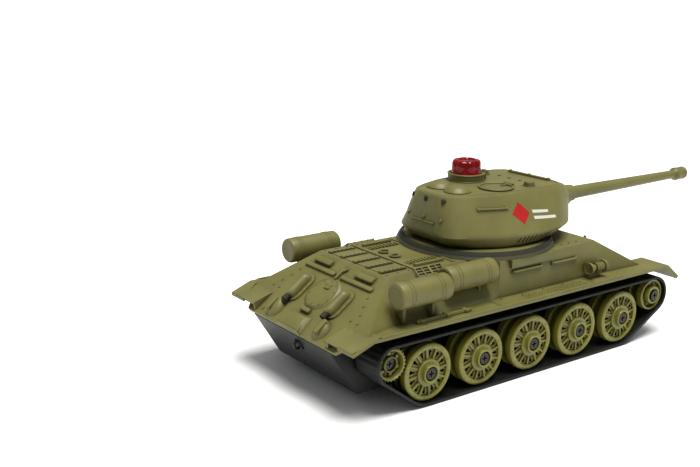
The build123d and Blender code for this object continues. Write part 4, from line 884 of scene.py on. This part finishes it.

# Lugs at the back edge of the roof, small holes in the roof and cooling slits at the front right, all
# near-black; the holes and slits are dark marks of painted shade on the surface
bm = bmesh.new()
for y in (-10.2, 0.0, 10.2):
    m = behind(SHELL, y, 75.6)
    prism(bm, m, round_rect(1.3, 2.2, 0.4), -0.3, 0.75, 0.2)
    prism(bm, m, round_rect(2.2, 0.7, 0.25, 0, -0.7), -0.3, 0.5, 0.15)
for y in (8.9, 2.2, -5.0):
    m = upright(TURRET_X + 23.0, y, TURRET_ROOF_Z)
    lathe(bm, m, [(0.95, -0.1), (0.95, 0.06), (0.75, 0.1), (0.62, 0.02), (0, 0.02)], 20)
for i in range(9):
    x = TURRET_X - 0.5 + 2.35 * i
    ends = (across(SHELL, x - 0.55, 57.0, -1), across(SHELL, x + 0.75, 59.4, -1))
    tube(bm, [lifted(m, 0.02) for m in ends], 0.42, 8, squash=0.5)
piece("turret_dark_fittings", bm, PIT, "turret")


def marking(name, corners, rows, material):
    """A four-cornered mark laid on the turret's right wall, from corners (ahead of its axis, height)."""
    a, b, c, d = (Vector((TURRET_X + x, z)) for x, z in corners)
    grid = []
    for i in range(rows + 1):
        u = i / rows
        line = []
        for j in range(rows + 1):
            v = j / rows
            p = a * (1 - u) * (1 - v) + b * u * (1 - v) + c * u * v + d * (1 - u) * v
            line.append(across(SHELL, p.x, p.y, -1))
        grid.append(line)
    mark = bmesh.new()
    sheet_on(mark, grid, 0.07)
    piece(name, mark, material, "turret")


# Markings: a plain diamond and two short bars
marking("turret_mark_diamond", [(-1.2, 69.4), (3.6, 64.7), (8.4, 69.1), (3.6, 74.0)], 8, RED_MARK)
marking("turret_mark_bar_1", [(10.2, 66.2), (24.5, 64.9), (24.5, 66.1), (10.2, 67.5)], 6, WHITE_MARK)
marking("turret_mark_bar_2", [(10.2, 68.8), (20.0, 67.9), (20.0, 69.1), (10.2, 70.1)], 6, WHITE_MARK)

# Cupola ring with its lug
bm = bmesh.new()
ring_r = (cupola_high.y - cupola_low.y) / 2
ring_top = cupola_high.z - TURRET_ROOF_Z
dome_r = (box_mm("signal_dome")[1].y - box_mm("signal_dome")[0].y) / 2
centre = upright(dome_mid.x, dome_mid.y, TURRET_ROOF_Z)
lathe(
    bm,
    centre,
    [
        (dome_r + 0.1, 0.0), (ring_r - 0.05, 0.0), (ring_r - 0.05, 0.3), (ring_r - 0.25, 0.55),
        (ring_r - 0.25, ring_top - 0.8),
        (ring_r - 0.02, ring_top - 0.6), (ring_r - 0.02, ring_top - 0.2), (ring_r - 0.2, ring_top),
        (dome_r + 0.5, ring_top),
        (dome_r + 0.15, ring_top - 0.25), (dome_r + 0.1, ring_top - 0.6),
    ],
    64,
    ring=True,
)
lug = centre @ Matrix.Rotation(math.radians(-20), 4, "Z") @ Matrix.Translation((ring_r + 0.2, 0, 0))
prism(bm, lug, round_rect(1.6, 2.4, 0.3), -0.2, ring_top + 0.9, 0.25)
piece("cupola", bm, OLIVE, "turret", replaces=("cupola_ring",))

# Red dome with eight lobes
LOBES = 8
bm = bmesh.new()
top = box_mm("signal_dome")[1].z - TURRET_ROOF_Z
rings = []
for z, scale, lobe in (
    (0.02, 1.0, 0.0), (ring_top, 1.0, 0.0), (ring_top + 0.4, 0.985, 0.02), (top * 0.62, 0.98, 0.05),
    (top - 1.6, 0.97, 0.07),
    (top - 0.8, 0.93, 0.09), (top - 0.3, 0.86, 0.11), (top - 0.05, 0.78, 0.12), (top - 0.02, 0.7, 0.12),
    (top - 0.35, 0.6, 0.1),
    (top - 0.85, 0.5, 0.05), (top - 0.95, 0.42, 0.0), (top - 0.6, 0.3, 0.0), (top - 0.5, 0.12, 0.0),
):
    ring = []
    for t in turns(96):
        r = dome_r * scale * (1 - lobe * (0.5 + 0.5 * math.cos(LOBES * t)) ** 2)
        ring.append(centre @ Vector((r * math.cos(t), r * math.sin(t), z)))
    rings.append(ring)
loft(bm, rings)
piece("dome", bm, RED_CLEAR, "turret", replaces=("signal_dome",), sharp=50)

# Loader's hatch: a ring lying on the roof, a low lid and a hinge
bm = bmesh.new()
HX, HY = (hatch_low.x + hatch_high.x) / 2 + 0.5, (hatch_low.y + hatch_high.y) / 2
place = upright(HX, HY, TURRET_ROOF_Z)
lathe(bm, place, [(7.6, -0.1), (7.6, 0.3), (7.3, 0.42), (0, 0.5)], 64)
lathe(bm, place, disc(0.5, 12, 7.75, 0.45), 72, ring=True)
hinge = upright(HX + 7.6, HY, TURRET_ROOF_Z)
prism(bm, hinge, round_rect(2.6, 5.0, 0.5), -0.1, 1.25, 0.3)
tube(bm, [hinge @ Vector((0.6, -2.9, 1.1)), hinge @ Vector((0.6, 2.9, 1.1))], 0.55, 12)
prism(bm, hinge, round_rect(4.2, 1.3, 0.4, -2.2, 0), 0.2, 0.95, 0.2)
piece("hatch", bm, OLIVE, "turret", replaces=("loader_hatch",))

# --- Gun: a ringed muzzle ---
bm = bmesh.new()
muzzle = basis((box_mm("gun_barrel")[1].x, 0, middle("gun_barrel").z), (1, 0, 0), (0, 1, 0))
lathe(
    bm, muzzle,
    [
        (1.25, -6.0), (2.2, -9.6), (2.45, -9.4), (2.7, -8.9), (3.3, -8.2), (3.5, -7.5), (3.5, -6.6),
        (3.35, -6.3), (3.35, -2.4),
        (3.48, -2.1), (3.48, -1.5), (3.3, -0.7), (2.9, -0.15), (2.4, 0.0), (1.6, 0.0), (1.3, -0.3),
    ],
    40, ring=True,
)
piece("muzzle", bm, OLIVE, "gun")

# The collar under the turret, in the turret's shade, which is painted on: a thin skin of painted shade, and
# a near-black band of painted shadow at its top
COLLAR_FOOT_R, COLLAR_TOP_R = 37.0, 35.2
collar = upright(TURRET_X, 0, ROOF_Z)
bm = bmesh.new()
skin = [
    (COLLAR_FOOT_R - 0.4, 0.05), (COLLAR_FOOT_R + 0.12, 0.05), (COLLAR_TOP_R + 0.1, COLLAR_HEIGHT + 0.04),
    (COLLAR_TOP_R - 1.5, COLLAR_HEIGHT + 0.04), (COLLAR_TOP_R - 1.5, COLLAR_HEIGHT - 0.1),
    (COLLAR_TOP_R - 0.4, COLLAR_HEIGHT - 0.1),
]
lathe(bm, collar, skin, 128, ring=True)
piece("collar_skin", bm, SHADE)
# Near-black band: painted shadow in the gap under the turret
bm = bmesh.new()
band = [
    (36.0, 1.7), (36.24, 1.7), (COLLAR_TOP_R + 0.2, COLLAR_HEIGHT + 0.08),
    (COLLAR_TOP_R - 1.5, COLLAR_HEIGHT + 0.08), (COLLAR_TOP_R - 1.4, COLLAR_HEIGHT),
]
lathe(bm, collar, band, 128, ring=True)
piece("collar_gap", bm, PIT)

# --- Engine deck ---
bm = bmesh.new()
deck = ROOF_Z
STRIP_START, STRIP_END = at(-6.6), at(6.9)
STRIP_BITES = 6
# Strips with a scalloped edge
for y in (-18.4, -9.2, 0.0, 9.2, 18.4):
    x0, x1 = STRIP_START, STRIP_END
    step = (x1 - x0) / STRIP_BITES
    outline = [(x0, y - 0.25)]
    for k in range(STRIP_BITES):
        for s in range(7):
            t = s / 6
            outline.append((x0 + step * (k + t), y - 0.55 - 0.55 * math.sin(math.pi * t)))
    outline += [(x1, y - 0.25), (x1, y + 0.75), (x0, y + 0.75)]
    clean = [outline[0]]
    for p in outline[1:]:
        if (Vector(p) - Vector(clean[-1])).length > 0.02:
            clean.append(p)
    rings = [[Vector((px, py, deck + z)) for px, py in clean] for z in (-0.2, 0.75)]
    rings.append([Vector((px, y + (py - y) * 0.8, deck + 0.95)) for px, py in clean])
    loft(bm, rings)
# Panels between the strips, slightly raised
for y in (-14.2, -4.9, 4.4, 13.6):
    prism(bm, upright(at(0.1), y, deck), round_rect(12.6, 6.2, 0.5), -0.2, 0.3, 0.15)
# Raised seams across the deck and round the engine cover
for m, half in ((9.4, 22.6), (31.0, 22.8)):
    prism(bm, upright(at(m), 0, deck), rect(1.0, 2 * half), -0.2, 0.45, 0.15)
for side in (-1, 1):
    x0, x1 = at(12.2), at(28.4)
    prism(bm, upright((x0 + x1) / 2, side * 18.6, deck), round_rect(x1 - x0, 1.9, 0.4), -0.2, 1.25, 0.3)
    prism(bm, upright((x0 + x1) / 2, side * 13.6, deck), round_rect(x1 - x0, 2.6, 0.4), -0.2, 0.4, 0.15)
    for k in range(8):
        prism(bm, upright(x0 + 1.2 + k * 2.0, side * 13.6, deck), round_rect(0.7, 2.9, 0.2), 0.2, 0.85,
            0.15)
    prism(bm, upright(at(36.0), side * 16.8, deck), round_rect(7.0, 2.0, 0.4), -0.2, 0.7, 0.2)
# Curled handles
for y, turn in ((5.6, 0.4), (-2.4, 0.7)):
    place = upright(at(15.0), y, deck)
    path = [
        place @ Vector((2.7 * math.cos(a), 2.0 * math.sin(a), 0.5))
        for a in (turn + 0.4 * k for k in range(12))
    ]
    tube(bm, path, 0.5, 8)
# Bolts along both edges of the decks behind and ahead of the turret
for m in range(-6, 32, 6):
    for side in (-1, 1):
        stud(bm, upright(at(m), side * 22.4, deck), 0.42, 0.4)
for m in range(86, 106, 5):
    for side in (-1, 1):
        stud(bm, upright(at(m), side * 30.6, deck), 0.45, 0.45)
piece("engine_deck", bm, OLIVE)

# Painted shade: thin near-black lines along the deck's grooves, and near-black strips in the gaps beside
# the scalloped strips
bm = bmesh.new()
for m, half in ((8.5, 23.5), (31.8, 23.2)):
    prism(bm, upright(at(m), 0, deck), rect(0.45, 2 * half), -0.2, 0.04)
for side in (-1, 1):
    prism(bm, upright(at(20.3), side * 15.6, deck), rect(17.0, 0.4), -0.2, 0.04)
    prism(bm, upright(at(20.3), side * 11.9, deck), rect(17.0, 0.4), -0.2, 0.04)
for y in (-18.4, -9.2, 0.0, 9.2, 18.4):
    prism(bm, upright(at(0.2), y - 0.95, deck), rect(13.6, 1.1), -0.2, 0.33)
piece("deck_gaps", bm, PIT)

# Grilles on the shoulders of the hull
SHOULDER_TILT = math.radians(34)
for side_name, side in SIDES.items():
    normal = (0, side * math.sin(SHOULDER_TILT), math.cos(SHOULDER_TILT))
    place = basis((at(15.0), side * 25.4, 51.3), normal, (1, 0, 0))
    bars = bmesh.new()
    prism(bars, place, round_rect(15.6, 5.2, 0.5), -3.4, 0.0, 0.15)
    for x in (-7.3, -3.55, 0.0, 0.55, 3.9, 7.3):
        prism(bars, place, rect(0.6, 4.9, x, 0), -0.2, 0.75, 0.12)
    for y in (-2.2, -0.75, 0.75, 2.2):
        prism(bars, place, rect(14.9, 0.5, 0, y), -0.2, 0.6, 0.12)
    piece(f"grille_{side_name}", bars, OLIVE)
    # Painted shade: a dark flat sheet in each of the grille's two windows
    pits = bmesh.new()
    for x in (-3.65, 3.85):
        prism(pits, place, rect(6.4, 4.2, x, 0), -0.3, 0.06)
    piece(f"grille_gap_{side_name}", pits, SHADE)

# --- Rear plate ---
REAR_FOOT_Z = 28.5  # height of the plate's lower edge
HATCH_S = 21.5  # how far up the plate its round hatch is
rear_up = behind(HULL, 27.0, 46.0, (0, -1, 0))
SLOPE_N = rear_up.to_3x3().col[2].copy()
SLOPE_UP = SLOPE_N.cross(Vector((0, -1, 0)))
if SLOPE_UP.z < 0:
    SLOPE_UP = -SLOPE_UP
base = rear_up.translation
foot = base - SLOPE_UP * ((base.z - REAR_FOOT_Z) / SLOPE_UP.z)
REAR = Matrix((Vector((0, -1, 0)), SLOPE_UP, SLOPE_N)).transposed().to_4x4()
REAR.translation = Vector((foot.x, 0, foot.z))


def on_rear(y, s):
    """A place on the rear plate: y to the left, s up the slope from its lower edge."""
    return REAR @ Matrix.Translation((-y, s, 0))


bm = bmesh.new()
for side in (-1, 1):
    prism(bm, on_rear(side * 13.3, 32.0), round_rect(22.0, 2.0, 0.5), -0.2, 1.15, 0.3)
    prism(bm, on_rear(side * 15.0, 36.0), round_rect(12.2, 3.0, 0.7), -0.2, 1.75, 0.45)
prism(bm, on_rear(0, 33.4), round_rect(1.5, 6.4, 0.4), -0.2, 1.2, 0.25)
for side in (-1, 1):
    arm = on_rear(0, 34.2) @ Matrix.Rotation(side * math.radians(38), 4, "Z")
    prism(bm, arm, round_rect(1.2, 4.0, 0.35, 0, 1.4), -0.2, 1.1, 0.2)
# Round hatch: lid edge, bolts and a small handle
lid = [(9.2, -0.2), (9.2, 0.0), (8.5, 0.5), (8.0, 0.72), (7.95, 0.75), (7.7, 0.75), (7.6, 0.78), (0, 0.78)]
lathe(bm, on_rear(0, HATCH_S), lid, 64)
on_lid = Matrix.Translation((0, 0, 0.7))
for k in range(10):
    a = math.radians(36 * k + 18)
    stud(bm, on_rear(6.9 * math.cos(a), HATCH_S + 6.9 * math.sin(a)) @ on_lid, 0.36, 0.35)
prism(bm, on_rear(-0.5, 24.4), round_rect(3.4, 1.0, 0.4), 0.2, 1.35, 0.2)
for side in (-1, 1):
    stud(bm, on_rear(side * 1.8, 26.2) @ on_lid, 0.4, 0.4)
# Small block under the hatch and the transmission bulge with its sloping top
prism(bm, on_rear(-0.2, 11.2), round_rect(6.4, 2.2, 0.5), -0.2, 1.6, 0.4)
# Each level: its height, half its width and its place up the slope, at the foot and at the head
bulge = []
for h, foot_half, foot_s, head_half, head_s in (
    (-0.2, 8.6, 0.3, 7.6, 9.4), (2.25, 8.2, 0.5, 6.0, 7.0), (2.45, 7.9, 0.8, 5.7, 6.6),
):
    corners = ((-foot_half, foot_s), (foot_half, foot_s), (head_half, head_s), (-head_half, head_s))
    bulge.append([REAR @ Vector((x, s, h)) for x, s in corners])
loft(bm, bulge)
# Domed fairings under the exhausts, each with a stud beside it
for side in (-1, 1):
    fairing = []
    for h, rx, ry, s in (
        (-0.2, 4.4, 4.6, 6.0), (0.7, 4.1, 4.3, 6.2), (1.8, 3.2, 3.6, 7.0), (2.5, 2.3, 2.8, 7.8),
        (2.8, 1.2, 1.6, 8.4),
    ):
        m = on_rear(side * 17.4, s)
        fairing.append([m @ Vector((rx * math.cos(a), ry * math.sin(a), h)) for a in turns(32)])
    loft(bm, fairing)
    stud(bm, on_rear(side * 24.4, 3.2), 0.7, 0.6, count=14)
# Rivet rows up both edges, and one rivet at the top corners
for side in (-1, 1):
    for s, y in ((11.6, 34.2), (15.6, 31.6), (19.6, 29.2), (23.8, 26.9), (28.0, 25.0), (32.2, 24.2)):
        stud(bm, on_rear(side * y, s), 0.5, 0.45)
        if s < 18:
            stud(bm, on_rear(side * (y - 4.6), s), 0.5, 0.45)
    stud(bm, on_rear(side * 20.4, 38.2), 0.4, 0.35)
piece("rear_plate_fittings", bm, OLIVE)

# Towing eye in the middle of the tub's rear wall
hooks = bmesh.new()
place = behind(TUB, -1.8, 21.5, (0, -1, 0))
prism(hooks, place, round_rect(3.6, 5.2, 0.8), -0.2, 0.8, 0.25)
path = []
for k in range(10):
    a = math.radians(-20 + 24 * k)
    path.append(place @ Vector((0, 0.4 - 1.7 * math.cos(a), 0.9 + 1.7 * math.sin(a))))
tube(hooks, path, 0.65, 10)
piece("hooks", hooks, TUB_DARK, "root", replaces=("tow_hooks",))

# Ball mount and short barrel of the bow gun
mid = middle("bow_gun")
bow = bmesh.new()
place = dropped(HULL, (at(260), mid.y, mid.z), (-1, 0, 0), (0, 1, 0))
stud(bow, place, 2.6, 1.6, count=28)
tube(bow, [place @ Vector((0, 0, 0)), place @ Vector((0, 0, 3.6))], 0.75, 12)
piece("bow_mount", bow, OLIVE, replaces=("bow_gun",))

# Painted shade: a dark ring in the seam round the lid, and a small dark patch under each exhaust's flange
bm = bmesh.new()
lathe(bm, on_rear(0, HATCH_S), [(7.95, 0.3), (7.95, 0.76), (7.7, 0.76), (7.7, 0.3)], 64, ring=True)
for side in (-1, 1):
    prism(bm, on_rear(side * 17.4, 25.6), round_rect(1.0, 1.0, 0.3), -0.2, 0.05)
piece("rear_plate_gaps", bm, SHADE)

# Exhausts: a flange with rivets, a long rounded hood and a dark tail pipe
HOOD_HALF = 7.0
pipe_profile = [
    (1.0, -1.0), (1.45, -1.0), (1.45, 2.0), (1.65, 2.15), (1.65, 2.8), (1.45, 3.0), (1.1, 3.0), (1.0, 2.7),
]
bm = bmesh.new()
dark = bmesh.new()
for side in (-1, 1):
    m = on_rear(side * 14.5, 19.8)
    prism(bm, m, round_rect(8.4, 15.8, 4.1, steps=9), -0.2, 0.85, 0.2)
    sections = []
    for k in range(-8, 9):
        s = HOOD_HALF * k / 8
        end = max(0.0, (abs(s) - (HOOD_HALF - 3.0)) / 3.0)
        width = 2.45 * math.sqrt(max(0.02, 1 - end**2.4))
        height = 3.6 * (max(0.03, 1 - end**2.2) if s > 0 else 1.0)
        arch = [math.pi * i / 12 for i in range(13)]
        sections.append(
            [m @ Vector((width * math.cos(t), s, 0.6 + height * math.sin(t) ** 0.85)) for t in arch]
        )
    loft(bm, sections)
    for k in range(4):
        for sx in (-1, 1):
            stud(bm, m @ Matrix.Translation((sx * 3.6, -4.6 + 3.1 * k, 0.8)), 0.3, 0.3)
    pipe = m @ Matrix.Translation((0, -6.4, 2.1)) @ Matrix.Rotation(math.radians(90), 4, "X")
    lathe(dark, pipe, pipe_profile, 24, ring=True)
piece("exhaust_hoods", bm, OLIVE, replaces=("exhausts",))
piece("exhaust_pipes", dark, PIT)

# --- Fenders and hull sides ---
ABOVE_FENDER = 39.0
FENDER = down(HULL, at(45), -44.0, 50.0).translation.z
bm = bmesh.new()
pits = bmesh.new()
for side in (-1, 1):
    # Rolled edge along the fender
    tube(bm, [Vector((at(m), side * 46.45, FENDER + 0.12)) for m in range(-27, 125, 8)], 0.42, 8)
    # Foot tread: rows of short raised dashes
    for i in range(19):
        for j in range(3):
            lean = Matrix.Rotation(0.55 if (i + j) % 2 else -0.55, 4, "Z")
            m = down(HULL, at(57.5 + 2.05 * i), side * (40.2 + 1.75 * j), ABOVE_FENDER) @ lean
            prism(bm, m, round_rect(1.25, 0.4, 0.18), -0.1, 0.24, 0.08)
    # Seams across the fender, as thin near-black lines of painted shade
    for m_x in (40.0, 98.5, -2.0):
        m = down(HULL, at(m_x), side * 42.0, ABOVE_FENDER)
        prism(pits, m, rect(0.35, 8.4), -0.2, 0.04)
    # Sloping wing over the rear corner, and the gusset under its inner edge
    wing = [(-26.9, 27.6, 36.75), (-40.9, 27.6, 32.5), (-40.9, 46.2, 32.5), (-26.9, 46.4, 36.55)]
    top = [Vector((at(m_x), side * y, z)) for m_x, y, z in wing]
    rise = (top[1] - top[0]).cross(top[3] - top[0]).normalized()
    rise = rise if rise.z > 0 else -rise
    loft(bm, [[c - rise * 1.0 for c in top], [c + rise * 0.05 for c in top]])
    gusset = [(-27.2, 27.6, 36.3), (-40.4, 27.6, 32.0), (-39.9, 27.6, 28.6)]
    edge = [Vector((at(m_x), side * y, z)) for m_x, y, z in gusset]
    loft(bm, [edge, [c + Vector((0, side * 1.0, 0)) for c in edge]])
    for k in range(5):
        stud(bm, down(HULL, at(46.0 + 13.0 * k), side * 38.4, ABOVE_FENDER), 0.5, 0.45)
piece("fender_details", bm, OLIVE)
piece("fender_gaps", pits, PIT)

# Raised bars on the hull's sides, with posts
bm = bmesh.new()
RAIL_Z = 46.2
for side in (-1, 1):
    for x0, x1 in ((at(54.6), at(73.0)), (at(79.2), at(95.6))):
        m0, m1 = across(HULL, x0 + 0.6, RAIL_Z, side), across(HULL, x1 - 0.6, RAIL_Z, side)
        p0, p1 = lifted(m0, 0.75), lifted(m1, 0.75)
        tube(bm, [p0, (p0 * 2 + p1) / 3, (p0 + p1 * 2) / 3, p1], 0.62, 12)
        for m in (m0, m1):
            block(bm, m, 1.3, 1.5, 0.9, 0.2)
piece("side_rails", bm, OLIVE, replaces=("hull_handrails",))

# Horn on the right side: a ribbed spool
bm = bmesh.new()
horn_low, horn_high = box_mm("side_horn")
horn_mid = (horn_low + horn_high) / 2
m = basis((horn_low.x, horn_mid.y, horn_mid.z), (1, 0, 0), (0, 1, 0))
length = horn_high.x - horn_low.x
profile = [
    (0, 0.9), (1.6, 0.8), (2.5, 0.1), (2.85, 0.0), (2.98, 0.3), (2.8, 1.1), (2.0, 2.9), (1.5, 3.7),
    (1.5, 4.3), (2.3, 4.4), (2.3, 5.0), (2.0, 5.2), (2.0, 5.8), (2.3, 6.0), (2.3, 6.6), (2.0, 6.8),
    (2.0, 7.4), (2.3, 7.6), (2.3, 8.4), (2.0, 8.8), (2.0, length - 1.6), (2.9, length - 1.4),
    (2.98, length - 1.0), (2.98, length - 0.3), (2.7, length), (0, length),
]
lathe(bm, m, profile, 40)
m = across(HULL, horn_mid.x - 1.5, horn_mid.z - 0.5, -1)
block(bm, m, 4.0, 2.4, 1.1, 0.2)
piece("horn", bm, OLIVE, replaces=("side_horn",))

# Saw on the right fender
bm = bmesh.new()
saw_low, saw_high = box_mm("fender_saw")
m = upright((saw_low.x + saw_high.x) / 2, (saw_low.y + saw_high.y) / 2, saw_low.z)
saw_len = saw_high.x - saw_low.x
prism(bm, m, round_rect(saw_len - 0.1, 2.3, 0.4), 0.0, 0.9, 0.2)
prism(bm, m, round_rect(saw_len - 0.1, 1.1, 0.4, 0, -0.4), 0.5, 1.45, 0.2)
for x in (-saw_len / 2 + 2.6, saw_len * 0.05, saw_len / 2 - 3.0):
    prism(bm, m, round_rect(2.2, 3.5, 0.4, x, 0), 0.0, 1.48, 0.25)
piece("saw", bm, OLIVE, replaces=("fender_saw",))

# --- Fuel drums ---
for name in ("drum_rear_right", "drum_rear_left", "drum_front_right"):
    low, high = box_mm(name)
    mid, r, length = (low + high) / 2, (high.z - low.z) / 2, high.x - low.x
    m = basis((low.x, mid.y, mid.z), (1, 0, 0), (0, 0, 1))
    shell = r - 0.2
    profile = [(0, 0.35), (3.6, 0.3), (shell - 1.2, 0.05), (shell - 0.6, 0.18), (shell - 0.2, 0.55),
        (shell, 1.15)]
    for c in (5.6, length - 5.6):
        for d in (-1.05, 0.55):
            profile += [(shell, c + d - 0.1), (r - 0.03, c + d + 0.02), (r - 0.03, c + d + 0.45),
                (shell, c + d + 0.57)]
    profile += [(shell, length - 1.15), (shell - 0.2, length - 0.55), (shell - 0.6, length - 0.18)]
    profile += [(shell - 1.2, length - 0.05), (3.6, length - 0.3), (0, length - 0.35)]
    bm = bmesh.new()
    lathe(bm, m, profile, 56)
    piece("fuel_" + name, bm, OLIVE, replaces=(name,))

# --- Camera, floor and lights ---


CAMERA_TURN = (36.342, -15.248, 0.6436)  # yaw, pitch and roll in degrees
CAMERA_PLACE = (-0.358458, -0.354089, 0.185456)  # in metres
SENSOR_WIDTH = 36.0
LENS = 54.41194


def photograph_camera():
    yaw, pitch, roll = (math.radians(a) for a in CAMERA_TURN)
    look = Vector((math.cos(pitch) * math.sin(yaw), math.cos(pitch) * math.cos(yaw), math.sin(pitch)))
    right = Vector((math.cos(yaw), -math.sin(yaw), 0))
    up = right.cross(look)
    right2 = right * math.cos(roll) + up * math.sin(roll)
    up2 = up * math.cos(roll) - right * math.sin(roll)
    m = Matrix((right2, up2, -look)).transposed().to_4x4()
    m.translation = Vector(CAMERA_PLACE)
    data = bpy.data.cameras.new("camera")
    data.sensor_width = SENSOR_WIDTH
    data.lens = LENS
    data.clip_start = 0.01
    cam = bpy.data.objects.new("camera", data)
    cam.matrix_world = m
    bpy.context.scene.collection.objects.link(cam)
    bpy.context.scene.camera = cam


photograph_camera()

white_floor, _, floor_shader = blank("floor")
floor_shader.inputs["Base Color"].default_value = (0.93, 0.93, 0.93, 1)
floor_shader.inputs["Roughness"].default_value = 0.6
floor_mesh = bpy.data.meshes.new("studio_floor")
floor_mesh.from_pydata([(-30, -30, 0), (30, -30, 0), (30, 30, 0), (-30, 30, 0)], [], [(0, 1, 2, 3)])
floor = bpy.data.objects.new("studio_floor", floor_mesh)
floor.data.materials.append(white_floor)
bpy.context.scene.collection.objects.link(floor)

world = bpy.data.worlds.new("studio")
world.use_nodes = True
world.node_tree.nodes["Background"].inputs["Color"].default_value = (0.98, 0.99, 1.0, 1)
world.node_tree.nodes["Background"].inputs["Strength"].default_value = 0.36
bpy.context.scene.world = world
bpy.context.scene.view_settings.view_transform = "Standard"
bpy.context.scene.view_settings.look = "Medium High Contrast"


def sun(name, towards, strength, angle, colour=(1, 1, 1)):
    """A soft studio lamp far away, in the direction given from the object."""
    data = bpy.data.lights.new(name, "SUN")
    data.angle = math.radians(angle)
    data.energy = strength
    data.color = colour
    lamp = bpy.data.objects.new(name, data)
    lamp.matrix_world = basis((0, 0, 0), towards, (1, 0, 0))
    bpy.context.scene.collection.objects.link(lamp)


sun("key", (0.02, -0.16, 0.98), 3.7, 34, (1.0, 0.985, 0.955))
